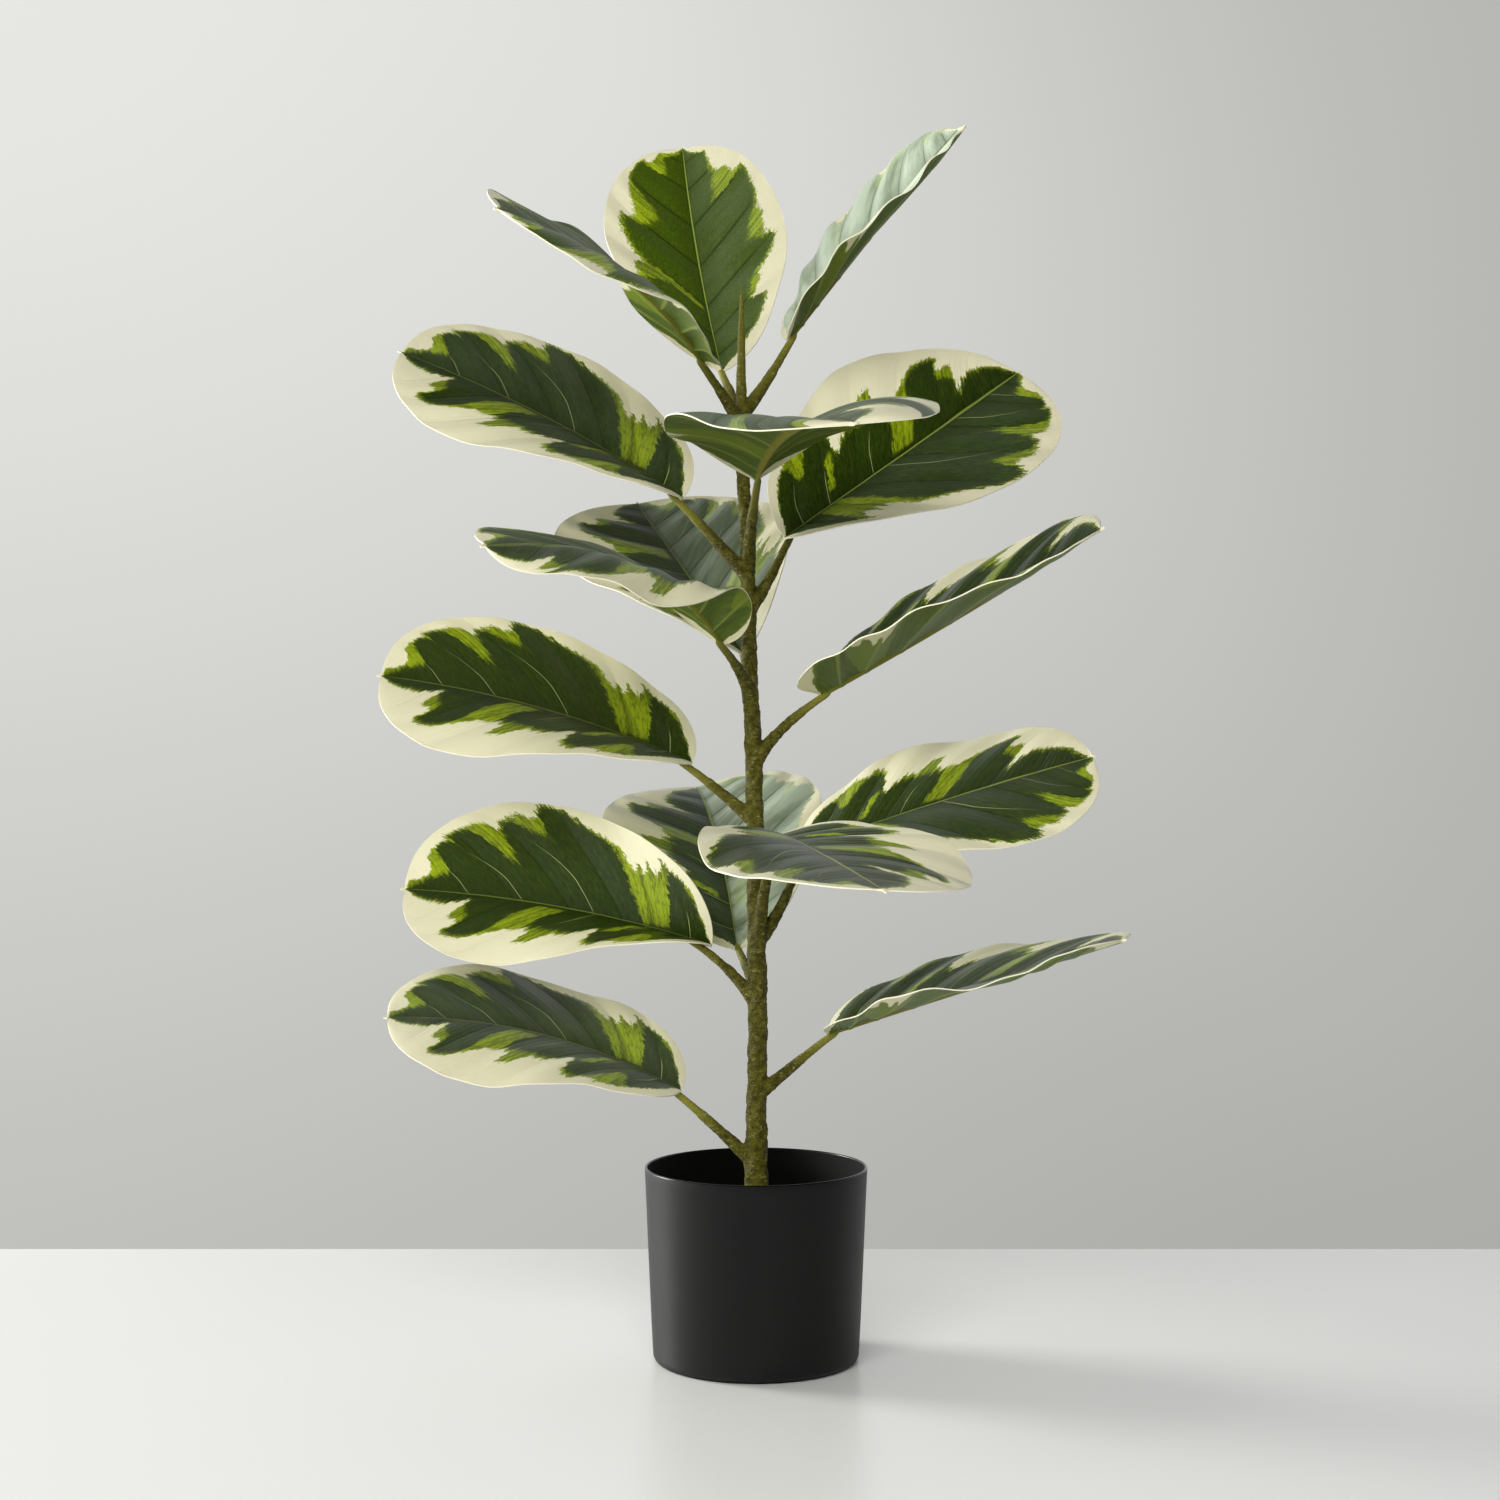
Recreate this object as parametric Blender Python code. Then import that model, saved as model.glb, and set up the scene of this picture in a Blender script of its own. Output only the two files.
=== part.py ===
"""Potted variegated fiddle leaf fig: a pot, its filling, one branched stem and sixteen leaf blades.

Metres, +Z up. The origin is the centre of the pot's flat underside, where the plant rests.
+X is the right side of the plant and -Y its front.
"""

import math
from dataclasses import dataclass

import bmesh
import bpy
from mathutils import Vector

# Gap left between two pieces that touch
GAP = 0.0003

# Pot, a tapered pail turned about Z
POT_HEIGHT = 0.1215
POT_RIM_RADIUS = 0.0700
POT_FOOT_RADIUS = 0.0647
POT_WALL = 0.0022
POT_FLOOR = 0.0030
POT_CORNER = 0.0050
POT_LEDGE_DROP = 0.0090
POT_LEDGE_STEP = 0.0005
POT_STEPS = 48

# Filling of the pot, with a plain hole for the stem
FILL_DEPTH_BELOW_RIM = 0.031
FILL_MOUND = 0.003
FILL_LUMP = 0.0009
FILL_STEPS = 32
ROOT_RADIUS = 0.0076
ROOT_END = 0.012
ROOT_TOP = 0.096

# Stem: height, sideways place and radius along it, ending in the closed bud
STEM_SIDES = 10
STEM_RINGS = 46
BARK_RELIEF = 0.00035
STEM_LINE = [
    (0.096, 0.0001, 0.0076),
    (0.125, 0.0001, 0.0073),
    (0.160, 0.0003, 0.0063),
    (0.190, 0.0010, 0.0061),
    (0.225, 0.0010, 0.0061),
    (0.262, 0.0005, 0.0059),
    (0.306, 0.0000, 0.0057),
    (0.352, -0.0010, 0.0055),
    (0.390, -0.0018, 0.0053),
    (0.415, -0.0033, 0.0051),
    (0.440, -0.0042, 0.0048),
    (0.477, -0.0045, 0.0046),
    (0.515, -0.0056, 0.0044),
    (0.547, -0.0077, 0.0042),
    (0.580, -0.0090, 0.0041),
    (0.600, -0.0093, 0.0035),
    (0.641, -0.0092, 0.0025),
    (0.660, -0.0092, 0.0016),
    (0.673, -0.0092, 0.0007),
    (0.678, -0.0092, 0.0003),
]

# Leaf stalks
STALK_SIDES = 7
STALK_RINGS = 7
STALK_ROOT_RADIUS = 0.0034
STALK_TIP_RADIUS = 0.0021
STALK_FLARE = 0.0012
STALK_LAST_HANDLE = 0.12

# Leaf outline: a rounded blade that is widest past the middle, with a waist near the base
OUTLINE_BASE = 0.50
OUTLINE_TIP = 0.40
WAIST_DEPTH = 0.10
WAIST_PLACE = 0.20
WAIST_LENGTH = 0.20
NECK_HALF_WIDTH = 0.0018
TIP_HALF_WIDTH = 0.0012
LOBE_PLACE = 0.018

# Leaf section: thin blade, raised rib underneath, side veins pressed in between soft pleats
BLADE_THICKNESS = 0.0008
RIB_THICKNESS = 0.0028
RIB_TIP_THICKNESS = 0.0012
RIB_HALF_WIDTH = 0.0022
PLEAT_HEIGHT = 0.0007
VEIN_LEAD = 0.72
VEIN_BEND = 1.4
VEINS = (0.085, 0.215, 0.365, 0.525, 0.685, 0.825, 0.940)
END_FADE = 0.08
WAVES_PER_MARGIN = 1.6
MIDRIB_STEPS = 60


@dataclass(frozen=True)
class Leaf:
    """One blade and its stalk.

    Angles are in degrees, lengths in millimetres. Right and left are seen along the midrib
    from the base, with the upper face up. The midrib starts at base with heading (about Z from
    +X) and rise (above level), and turns by sweep and droops by droop up to the tip. The blade
    is rolled about it by roll, and by twist more at the tip. Its halves fold up from flat by
    fold_base at the base and fold_tip at the tip, and curl on by half of curl at the margin.
    Each wave is its height at the margin and its phase. The stalk leaves the trunk at the height
    stalk_foot with stalk_rise above level, keeps that way for about the share stalk_handle of
    its length, and runs on under the rib by stalk_reach. A lobe is how far that half of the
    blade reaches back behind its base.
    """

    name: str
    base: tuple
    heading: float
    rise: float
    droop: float
    sweep: float
    roll: float
    twist: float
    fold_base: float
    fold_tip: float
    curl_right: float
    curl_left: float
    length: float
    half_width: float
    wave_right: tuple
    wave_left: tuple
    stalk_foot: float
    stalk_rise: float
    stalk_handle: float = 0.36
    stalk_reach: float = 0.0
    lobe_right: float = 0.0
    lobe_left: float = 0.0


LEAVES = [
    Leaf(
        "leaf_01",
        base=(-32, -29, 622),
        heading=244, rise=30, droop=22, sweep=-25,
        roll=30, twist=-2, fold_base=9, fold_tip=12,
        curl_right=-14, curl_left=-28, length=196, half_width=63,
        wave_right=(-6.3, 26), wave_left=(-4.3, -13),
        stalk_foot=587, stalk_rise=45,
    ),
    Leaf(
        "leaf_02",
        base=(-22, 45, 628),
        heading=108, rise=53, droop=-9, sweep=-6,
        roll=5, twist=9, fold_base=35, fold_tip=11,
        curl_right=-6, curl_left=-8, length=206, half_width=62,
        wave_right=(-0.6, 22), wave_left=(0.6, 0),
        stalk_foot=589, stalk_rise=45,
    ),
    Leaf(
        "leaf_03",
        base=(20, 20, 645),
        heading=11, rise=52, droop=2, sweep=-1,
        roll=-4, twist=-17, fold_base=20, fold_tip=13,
        curl_right=9, curl_left=-17, length=181, half_width=63,
        wave_right=(1.9, -50), wave_left=(-1.7, 40),
        stalk_foot=594, stalk_rise=44,
    ),
    Leaf(
        "leaf_04",
        base=(-46, 3, 542),
        heading=171, rise=34, droop=13, sweep=10,
        roll=26, twist=14, fold_base=30, fold_tip=7,
        curl_right=-7, curl_left=-14, length=206, half_width=74,
        wave_right=(-0.3, 10), wave_left=(-2.8, 26),
        stalk_foot=492, stalk_rise=48, stalk_reach=4,
    ),
    Leaf(
        "leaf_05",
        base=(0, -47, 548),
        heading=279, rise=16, droop=28, sweep=11,
        roll=-12, twist=-2, fold_base=42, fold_tip=18,
        curl_right=-19, curl_left=-50, length=210, half_width=76,
        wave_right=(-5.8, -96), wave_left=(3.0, 79),
        stalk_foot=500, stalk_rise=60,
    ),
    Leaf(
        "leaf_06",
        base=(18, 4, 517),
        heading=15, rise=35, droop=2, sweep=18,
        roll=-42, twist=3, fold_base=37, fold_tip=5,
        curl_right=-7, curl_left=-5, length=208, half_width=79,
        wave_right=(2.0, 75), wave_left=(-3.4, -66),
        stalk_foot=472, stalk_rise=45,
    ),
    Leaf(
        "leaf_07",
        base=(-7, 33, 444),
        heading=121, rise=37, droop=8, sweep=-10,
        roll=25, twist=-16, fold_base=49, fold_tip=8,
        curl_right=-5, curl_left=-6, length=211, half_width=83,
        wave_right=(0.0, 0), wave_left=(0.6, 0),
        stalk_foot=418, stalk_rise=40,
    ),
    Leaf(
        "leaf_08",
        base=(-21, -35, 448),
        heading=245, rise=36, droop=45, sweep=-33,
        roll=5, twist=23, fold_base=35, fold_tip=1,
        curl_right=-20, curl_left=-29, length=211, half_width=53,
        wave_right=(4.7, 225), wave_left=(-9.7, 150),
        stalk_foot=412, stalk_rise=74,
    ),
    Leaf(
        "leaf_09",
        base=(40, -3, 418),
        heading=335, rise=26, droop=-4, sweep=0,
        roll=-24, twist=-6, fold_base=37, fold_tip=13,
        curl_right=11, curl_left=-29, length=209, half_width=78,
        wave_right=(-2.2, -64), wave_left=(-1.8, 63),
        stalk_foot=372, stalk_rise=68, lobe_right=9,
    ),
    Leaf(
        "leaf_10",
        base=(-40, 2, 375),
        heading=178, rise=24, droop=17, sweep=5,
        roll=23, twist=20, fold_base=26, fold_tip=10,
        curl_right=-7, curl_left=-14, length=207, half_width=74,
        wave_right=(0.3, -11), wave_left=(-2.6, 32),
        stalk_foot=338, stalk_rise=42, stalk_reach=3,
    ),
    Leaf(
        "leaf_11",
        base=(28, -1, 321),
        heading=353, rise=20, droop=5, sweep=8,
        roll=-22, twist=-10, fold_base=26, fold_tip=3,
        curl_right=-14, curl_left=-13, length=194, half_width=74,
        wave_right=(-1.3, -9), wave_left=(-3.9, 60),
        stalk_foot=262, stalk_rise=45,
    ),
    Leaf(
        "leaf_12",
        base=(16, -45, 332),
        heading=282, rise=-4, droop=5, sweep=5,
        roll=-1, twist=5, fold_base=23, fold_tip=3,
        curl_right=-11, curl_left=-7, length=208, half_width=76,
        wave_right=(-3.9, 66), wave_left=(-3.1, 11),
        stalk_foot=236, stalk_rise=86, stalk_handle=0.75,
    ),
    Leaf(
        "leaf_13",
        base=(-12, 42, 254),
        heading=101, rise=52, droop=44, sweep=-2,
        roll=10, twist=-1, fold_base=29, fold_tip=12,
        curl_right=-7, curl_left=-10, length=211, half_width=76,
        wave_right=(-1.6, 0), wave_left=(0.0, 0),
        stalk_foot=230, stalk_rise=38,
    ),
    Leaf(
        "leaf_14",
        base=(-28, 6, 260),
        heading=165, rise=16, droop=13, sweep=15,
        roll=47, twist=1, fold_base=59, fold_tip=13,
        curl_right=5, curl_left=-8, length=206, half_width=67,
        wave_right=(3.3, 16), wave_left=(2.2, -113),
        stalk_foot=221, stalk_rise=62, stalk_reach=10,
    ),
    Leaf(
        "leaf_15",
        base=(-47, 6, 168),
        heading=175, rise=29, droop=30, sweep=14,
        roll=16, twist=7, fold_base=19, fold_tip=6,
        curl_right=-10, curl_left=-18, length=196, half_width=74,
        wave_right=(4.8, -3), wave_left=(3.0, -119),
        stalk_foot=122, stalk_rise=43, stalk_reach=2,
    ),
    Leaf(
        "leaf_16",
        base=(45, 4, 205),
        heading=341, rise=19, droop=1, sweep=-10,
        roll=-18, twist=7, fold_base=26, fold_tip=7,
        curl_right=10, curl_left=-22, length=204, half_width=74,
        wave_right=(-4.1, 47), wave_left=(-2.1, 23),
        stalk_foot=166, stalk_rise=36,
    ),
]

# Colours are linear, as the surfaces look in even light
DARK_GREEN = (0.045, 0.085, 0.012)
OLIVE_BARK = (0.085, 0.080, 0.020)
CHARCOAL = (0.012, 0.012, 0.013)
DARK_SOIL = (0.010, 0.008, 0.006)


def clear_scene():
    """Start from an empty scene."""
    for scene_object in list(bpy.data.objects):
        bpy.data.objects.remove(scene_object, do_unlink=True)


def make_material(name, colour, roughness, metallic=0.0):
    """Plain shaded material with the piece's own colour."""
    material = bpy.data.materials.new(name)
    material.use_nodes = True
    shader = material.node_tree.nodes["Principled BSDF"]
    shader.inputs["Base Color"].default_value = (*colour, 1.0)
    shader.inputs["Roughness"].default_value = roughness
    shader.inputs["Metallic"].default_value = metallic
    return material


def add_object(name, source, material, collection=None):
    """Turn a bmesh into a named object with one material."""
    mesh = bpy.data.meshes.new(name)
    source.to_mesh(mesh)
    source.free()
    mesh.materials.append(material)
    new_object = bpy.data.objects.new(name, mesh)
    (collection or bpy.context.scene.collection).objects.link(new_object)
    return new_object


def smooth(value):
    """Ease from 0 to 1."""
    value = max(0.0, min(1.0, value))
    return value * value * (3.0 - 2.0 * value)


def turned(profile, steps):
    """Closed solid turned about Z from a profile that starts and ends on the axis."""
    solid = bmesh.new()
    line = [solid.verts.new((radius, 0.0, height)) for radius, height in profile]
    edges = [solid.edges.new(pair) for pair in zip(line, line[1:])]
    bmesh.ops.spin(
        solid,
        geom=line + edges,
        cent=(0.0, 0.0, 0.0),
        axis=(0.0, 0.0, 1.0),
        angle=math.tau,
        steps=steps,
        use_merge=True,
    )
    bmesh.ops.remove_doubles(solid, verts=solid.verts, dist=0.00001)
    bmesh.ops.recalc_face_normals(solid, faces=solid.faces)
    return solid


def pot_outer_radius(height):
    """Radius of the straight tapered side."""
    return POT_FOOT_RADIUS + (POT_RIM_RADIUS - POT_FOOT_RADIUS) * height / POT_HEIGHT


def pot_inner_radius(height):
    """Radius of the inner side below the ledge."""
    return pot_outer_radius(height) - POT_WALL


def arc(centre_radius, centre_height, radius, start, end, count):
    """Points of a round corner in the turned profile."""
    points = []
    for index in range(count + 1):
        angle = math.radians(start + (end - start) * index / count)
        points.append((centre_radius + radius * math.cos(angle), centre_height + radius * math.sin(angle)))
    return points


def build_pot():
    """Pail with a rounded foot corner, a thin round lip and a fine ledge inside below the lip."""
    lip_round = 0.5 * (POT_WALL - POT_LEDGE_STEP)
    ledge = POT_HEIGHT - POT_LEDGE_DROP
    profile = [(0.0, 0.0)]
    profile += arc(POT_FOOT_RADIUS - POT_CORNER, POT_CORNER, POT_CORNER, -90, 0, 4)
    profile += arc(POT_RIM_RADIUS - lip_round, POT_HEIGHT - lip_round, lip_round, 0, 180, 4)
    profile.append((pot_inner_radius(ledge) + POT_LEDGE_STEP, ledge))
    profile.append((pot_inner_radius(ledge), ledge - POT_LEDGE_STEP))
    profile.append((pot_inner_radius(POT_CORNER), POT_CORNER + POT_FLOOR))
    profile.append((pot_inner_radius(0.0) - POT_CORNER, POT_FLOOR))
    profile.append((0.0, POT_FLOOR))
    pot = add_object("pot", turned(profile, POT_STEPS), make_material("pot", CHARCOAL, 0.45))
    pot.data.shade_smooth()
    pot.data.set_sharp_from_angle(angle=math.radians(35))
    return pot


def build_filling():
    """Soil that fills the pot to below the rim, lumpy on top, with a blind round hole for the stem."""
    top = POT_HEIGHT - FILL_DEPTH_BELOW_RIM
    hole = ROOT_RADIUS + GAP
    side_bottom = POT_CORNER + POT_FLOOR
    profile = [
        (0.0, POT_FLOOR + GAP),
        (pot_inner_radius(0.0) - POT_CORNER - GAP, POT_FLOOR + GAP),
        (pot_inner_radius(POT_CORNER) - 2.0 * GAP, side_bottom),
        (pot_inner_radius(top) - 2.0 * GAP, top),
    ]
    edge = profile[-1][0]
    for share in (0.8, 0.55, 0.3):
        profile.append((hole + (edge - hole) * share, top + FILL_MOUND * (1.0 - share)))
    profile.append((hole, top + FILL_MOUND))
    profile.append((hole, ROOT_END - GAP))
    profile.append((0.0, ROOT_END - GAP))
    solid = turned(profile, FILL_STEPS)
    for vertex in solid.verts:
        place = vertex.co
        radius = math.hypot(place.x, place.y)
        if place.z > top - 0.001 and hole + 0.001 < radius < edge - 0.001:
            lump = math.sin(410.0 * place.x + 1.3) * math.cos(370.0 * place.y) + math.sin(700.0 * place.y)
            place.z += FILL_LUMP * lump
    return add_object("soil", solid, make_material("soil", DARK_SOIL, 0.95))


def stem_at(height):
    """Sideways place and radius of the stem at a height, eased between the points of its line."""
    for (low, low_x, low_radius), (high, high_x, high_radius) in zip(STEM_LINE, STEM_LINE[1:]):
        if height <= high:
            share = smooth((height - low) / (high - low))
            return low_x + (high_x - low_x) * share, low_radius + (high_radius - low_radius) * share
    return STEM_LINE[-1][1], STEM_LINE[-1][2]


def tube(rings, sides):
    """Closed tube through rings, each a centre, two axes across it and a radius for each side."""
    solid = bmesh.new()
    loops = []
    for centre, across, over, radius_at in rings:
        loop = []
        for side in range(sides):
            angle = math.tau * side / sides
            radius = radius_at(angle)
            offset = across * (radius * math.cos(angle)) + over * (radius * math.sin(angle))
            loop.append(solid.verts.new(centre + offset))
        loops.append(loop)
    for lower, upper in zip(loops, loops[1:]):
        for side in range(sides):
            following = (side + 1) % sides
            solid.faces.new((lower[side], lower[following], upper[following], upper[side]))
    solid.faces.new(list(reversed(loops[0])))
    solid.faces.new(loops[-1])
    bmesh.ops.recalc_face_normals(solid, faces=solid.faces)
    return solid


def bark_radius(radius, height):
    """Radius round the stem with low knobs that fade out towards the bud."""
    relief = BARK_RELIEF * smooth((radius - 0.002) / 0.003)

    def at(angle):
        knob = math.sin(3.0 * angle + 190.0 * height) + math.sin(5.0 * angle - 430.0 * height + 1.0)
        return radius + relief * knob

    return at


def build_trunk(material):
    """Upright stem from the round root end in the filling to the tip of the closed bud."""
    across = Vector((1.0, 0.0, 0.0))
    over = Vector((0.0, 1.0, 0.0))
    rings = []
    for height in (ROOT_END, ROOT_TOP):
        rings.append((Vector((0.0, 0.0, height)), across, over, lambda angle: ROOT_RADIUS))
    bottom = STEM_LINE[0][0] + 0.004
    top = STEM_LINE[-1][0]
    for index in range(STEM_RINGS):
        share = index / (STEM_RINGS - 1)
        height = bottom + (top - bottom) * share
        place, radius = stem_at(height)
        rings.append((Vector((place, 0.0, height)), across, over, bark_radius(radius, height)))
    return add_object("stem", tube(rings, STEM_SIDES), material)


def direction(leaf, share):
    """Unit direction of the midrib."""
    heading = math.radians(leaf.heading + leaf.sweep * share)
    rise = math.radians(leaf.rise - leaf.droop * share)
    return Vector((math.cos(rise) * math.cos(heading), math.cos(rise) * math.sin(heading), math.sin(rise)))


def axes(leaf, share):
    """Right and upper directions of the blade at the midrib, rolled and twisted about it."""
    heading = math.radians(leaf.heading + leaf.sweep * share)
    level = Vector((math.sin(heading), -math.cos(heading), 0.0))
    upper = level.cross(direction(leaf, share))
    roll = math.radians(leaf.roll + leaf.twist * share)
    right = level * math.cos(roll) + upper * math.sin(roll)
    return right, upper * math.cos(roll) - level * math.sin(roll)


def midrib(leaf):
    """Points along the midrib, from the base to the tip, a step apart."""
    step = 1.0 / MIDRIB_STEPS
    places = [Vector(leaf.base) * 0.001]
    for index in range(MIDRIB_STEPS):
        run = direction(leaf, (index + 0.5) * step)
        places.append(places[-1] + run * (leaf.length * 0.001 * step))
    return places


def half_width(share):
    """Half of the blade's breadth, as a share of its greatest."""
    share = max(0.0, min(1.0, share))
    peak = OUTLINE_BASE / (OUTLINE_BASE + OUTLINE_TIP)
    greatest = peak**OUTLINE_BASE * (1.0 - peak) ** OUTLINE_TIP
    outline = share**OUTLINE_BASE * (1.0 - share) ** OUTLINE_TIP / greatest
    return outline * (1.0 - WAIST_DEPTH * math.exp(-(((share - WAIST_PLACE) / WAIST_LENGTH) ** 2)))


def pleat(row_share, span):
    """Height of the pleats: low along each side vein, high between two, flat at rib, margin and ends."""
    stations = (0.0,) + VEINS + (1.0,)
    for low, high in zip(stations, stations[1:]):
        if row_share <= high:
            break
    phase = (row_share - low) / (high - low)
    fade = smooth(row_share / END_FADE) * smooth((1.0 - row_share) / END_FADE)
    fade *= math.sqrt(max(0.0, math.sin(math.pi * span)))
    return -0.5 * PLEAT_HEIGHT * fade * math.cos(math.tau * phase)


def blade_point(leaf, places, row_share, side):
    """Point on the upper face, at a row's place on the midrib and a side from -1 to 1.

    A row follows the side veins, so it runs on towards the tip as it leaves the midrib.
    """
    span = abs(side)
    share = row_share + VEIN_LEAD * row_share * (1.0 - row_share) * span**VEIN_BEND
    curl, lobe = (leaf.curl_right, leaf.lobe_right) if side > 0 else (leaf.curl_left, leaf.lobe_left)
    wave, phase = leaf.wave_right if side > 0 else leaf.wave_left
    back = row_share / LOBE_PLACE * math.exp(1.0 - row_share / LOBE_PLACE) * span**2
    along = share - back * lobe / leaf.length
    index = max(0, min(int(along * MIDRIB_STEPS), MIDRIB_STEPS - 1))
    centre = places[index] + (places[index + 1] - places[index]) * (along * MIDRIB_STEPS - index)
    right, upper = axes(leaf, share)
    base_fold = (leaf.fold_base - leaf.fold_tip) * (1.0 - share) ** 2
    fold = math.radians(leaf.fold_tip + base_fold + 0.5 * curl * span)
    least = NECK_HALF_WIDTH + (TIP_HALF_WIDTH - NECK_HALF_WIDTH) * share
    breadth = max(leaf.half_width * 0.001 * half_width(share), least)
    turn = math.sin(math.tau * WAVES_PER_MARGIN * share + math.radians(phase))
    lift = wave * 0.001 * span**2 * turn * math.sqrt(max(0.0, math.sin(math.pi * share)))
    lift += pleat(row_share, span)
    outward = right * (side * math.cos(fold)) + upper * (span * math.sin(fold))
    return centre + outward * breadth + upper * lift


def blade_rows():
    """Stations along the midrib: the side veins, the pleats between, and the rounded ends."""
    stations = [0.0, 0.012, 0.040]
    for low, high in zip(VEINS, VEINS[1:]):
        stations += [low, 0.5 * (low + high)]
    return stations + [VEINS[-1], 0.972, 0.993, 1.0]


def build_leaf(leaf, material):
    """Blade as one waved sheet given its thickness, thicker along the rib underneath."""
    stations = blade_rows()
    rib = RIB_HALF_WIDTH / (leaf.half_width * 0.001)
    sides = [-1.0, -0.72, -0.38, -rib, 0.0, rib, 0.38, 0.72, 1.0]
    places = midrib(leaf)
    sheet = bmesh.new()
    bmesh.ops.create_grid(sheet, x_segments=len(sides) - 1, y_segments=len(stations) - 1, size=1.0)
    sheet.verts.ensure_lookup_table()
    weight_layer = sheet.verts.layers.deform.verify()
    for row, station in enumerate(stations):
        for column, side in enumerate(sides):
            vertex = sheet.verts[row * len(sides) + column]
            vertex.co = blade_point(leaf, places, station, side)
            rib_here = RIB_THICKNESS + (RIB_TIP_THICKNESS - RIB_THICKNESS) * station
            depth = rib_here if side == 0.0 else BLADE_THICKNESS
            vertex[weight_layer][0] = depth / RIB_THICKNESS
    bmesh.ops.triangulate(sheet, faces=sheet.faces)
    blade = add_object(leaf.name, sheet, material)
    blade.vertex_groups.new(name="thickness")
    solidify = blade.modifiers.new("thickness", "SOLIDIFY")
    solidify.thickness = RIB_THICKNESS
    solidify.offset = -1.0
    solidify.vertex_group = "thickness"
    solidify.use_even_offset = False
    blade.data.shade_smooth()
    return blade


def stalk_ring(centre, run, radius):
    """One ring of a stalk, square to its run."""
    across = run.cross(Vector((0.0, 0.0, 1.0))).normalized()
    return centre, across, across.cross(run), lambda angle: radius


def build_stalk(leaf, material, collection):
    """Stalk from inside the trunk to its blade, where it butts on the base or runs on under the rib."""
    height = leaf.stalk_foot * 0.001
    start = Vector((stem_at(height)[0], 0.0, height))
    run = direction(leaf, 0.0)
    upper = axes(leaf, 0.0)[1]
    if leaf.stalk_reach:
        under = RIB_THICKNESS + STALK_TIP_RADIUS + GAP
        end = Vector(leaf.base) * 0.001 + run * (leaf.stalk_reach * 0.001) - upper * under
    else:
        end = Vector(leaf.base) * 0.001 - upper * (0.5 * RIB_THICKNESS) - run * GAP
    chord = end - start
    level = Vector((chord.x, chord.y, 0.0)).normalized()
    rise = math.radians(leaf.stalk_rise)
    leave = level * math.cos(rise) + Vector((0.0, 0.0, math.sin(rise)))
    first = start + leave * (chord.length * leaf.stalk_handle)
    second = end - run * (chord.length * STALK_LAST_HANDLE)
    rings = []
    for index in range(STALK_RINGS + 1):
        part = index / STALK_RINGS
        rest = 1.0 - part
        place = start * rest**3 + first * (3.0 * rest * rest * part)
        place += second * (3.0 * rest * part * part) + end * part**3
        tangent = (first - start) * (rest * rest) + (second - first) * (2.0 * rest * part)
        tangent += (end - second) * (part * part)
        radius = STALK_ROOT_RADIUS + (STALK_TIP_RADIUS - STALK_ROOT_RADIUS) * part
        radius += STALK_FLARE * max(0.0, 1.0 - 3.0 * part)
        rings.append(stalk_ring(place, tangent.normalized(), radius))
    return add_object("stalk_" + leaf.name, tube(rings, STALK_SIDES), material, collection)


def build_stem():
    """Trunk, bud and stalks as one grown body."""
    material = make_material("bark", OLIVE_BARK, 0.75)
    trunk = build_trunk(material)
    stalks = bpy.data.collections.new("stalks")
    bpy.context.scene.collection.children.link(stalks)
    for leaf in LEAVES:
        build_stalk(leaf, material, stalks)
    union = trunk.modifiers.new("union", "BOOLEAN")
    union.operation = "UNION"
    union.operand_type = "COLLECTION"
    union.collection = stalks
    union.solver = "EXACT"
    graph = bpy.context.evaluated_depsgraph_get()
    joined = bpy.data.meshes.new_from_object(trunk.evaluated_get(graph))
    trunk.modifiers.remove(union)
    trunk.data = joined
    for stalk in list(stalks.objects):
        bpy.data.objects.remove(stalk, do_unlink=True)
    bpy.data.collections.remove(stalks)
    trunk.data.shade_smooth()
    return trunk


def main():
    """Build every piece of the plant."""
    clear_scene()
    build_pot()
    build_filling()
    build_stem()
    leaf_material = make_material("leaf", DARK_GREEN, 0.5)
    for leaf in LEAVES:
        build_leaf(leaf, leaf_material)


main()
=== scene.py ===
"""Looks of the potted variegated fiddle leaf fig.

Finer foliage, stem, pot and filling, with their finishes, the light and the camera. Metres, +Z up, in the
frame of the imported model: the origin is the centre of the pot's flat underside, +X is the right side of
the plant and -Y its front.
"""

import logging
import math
import random
from dataclasses import dataclass
from enum import Enum
from functools import reduce
from typing import Any, Callable, Sequence

import bmesh
import bpy
import numpy as np
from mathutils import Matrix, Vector, noise


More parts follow.
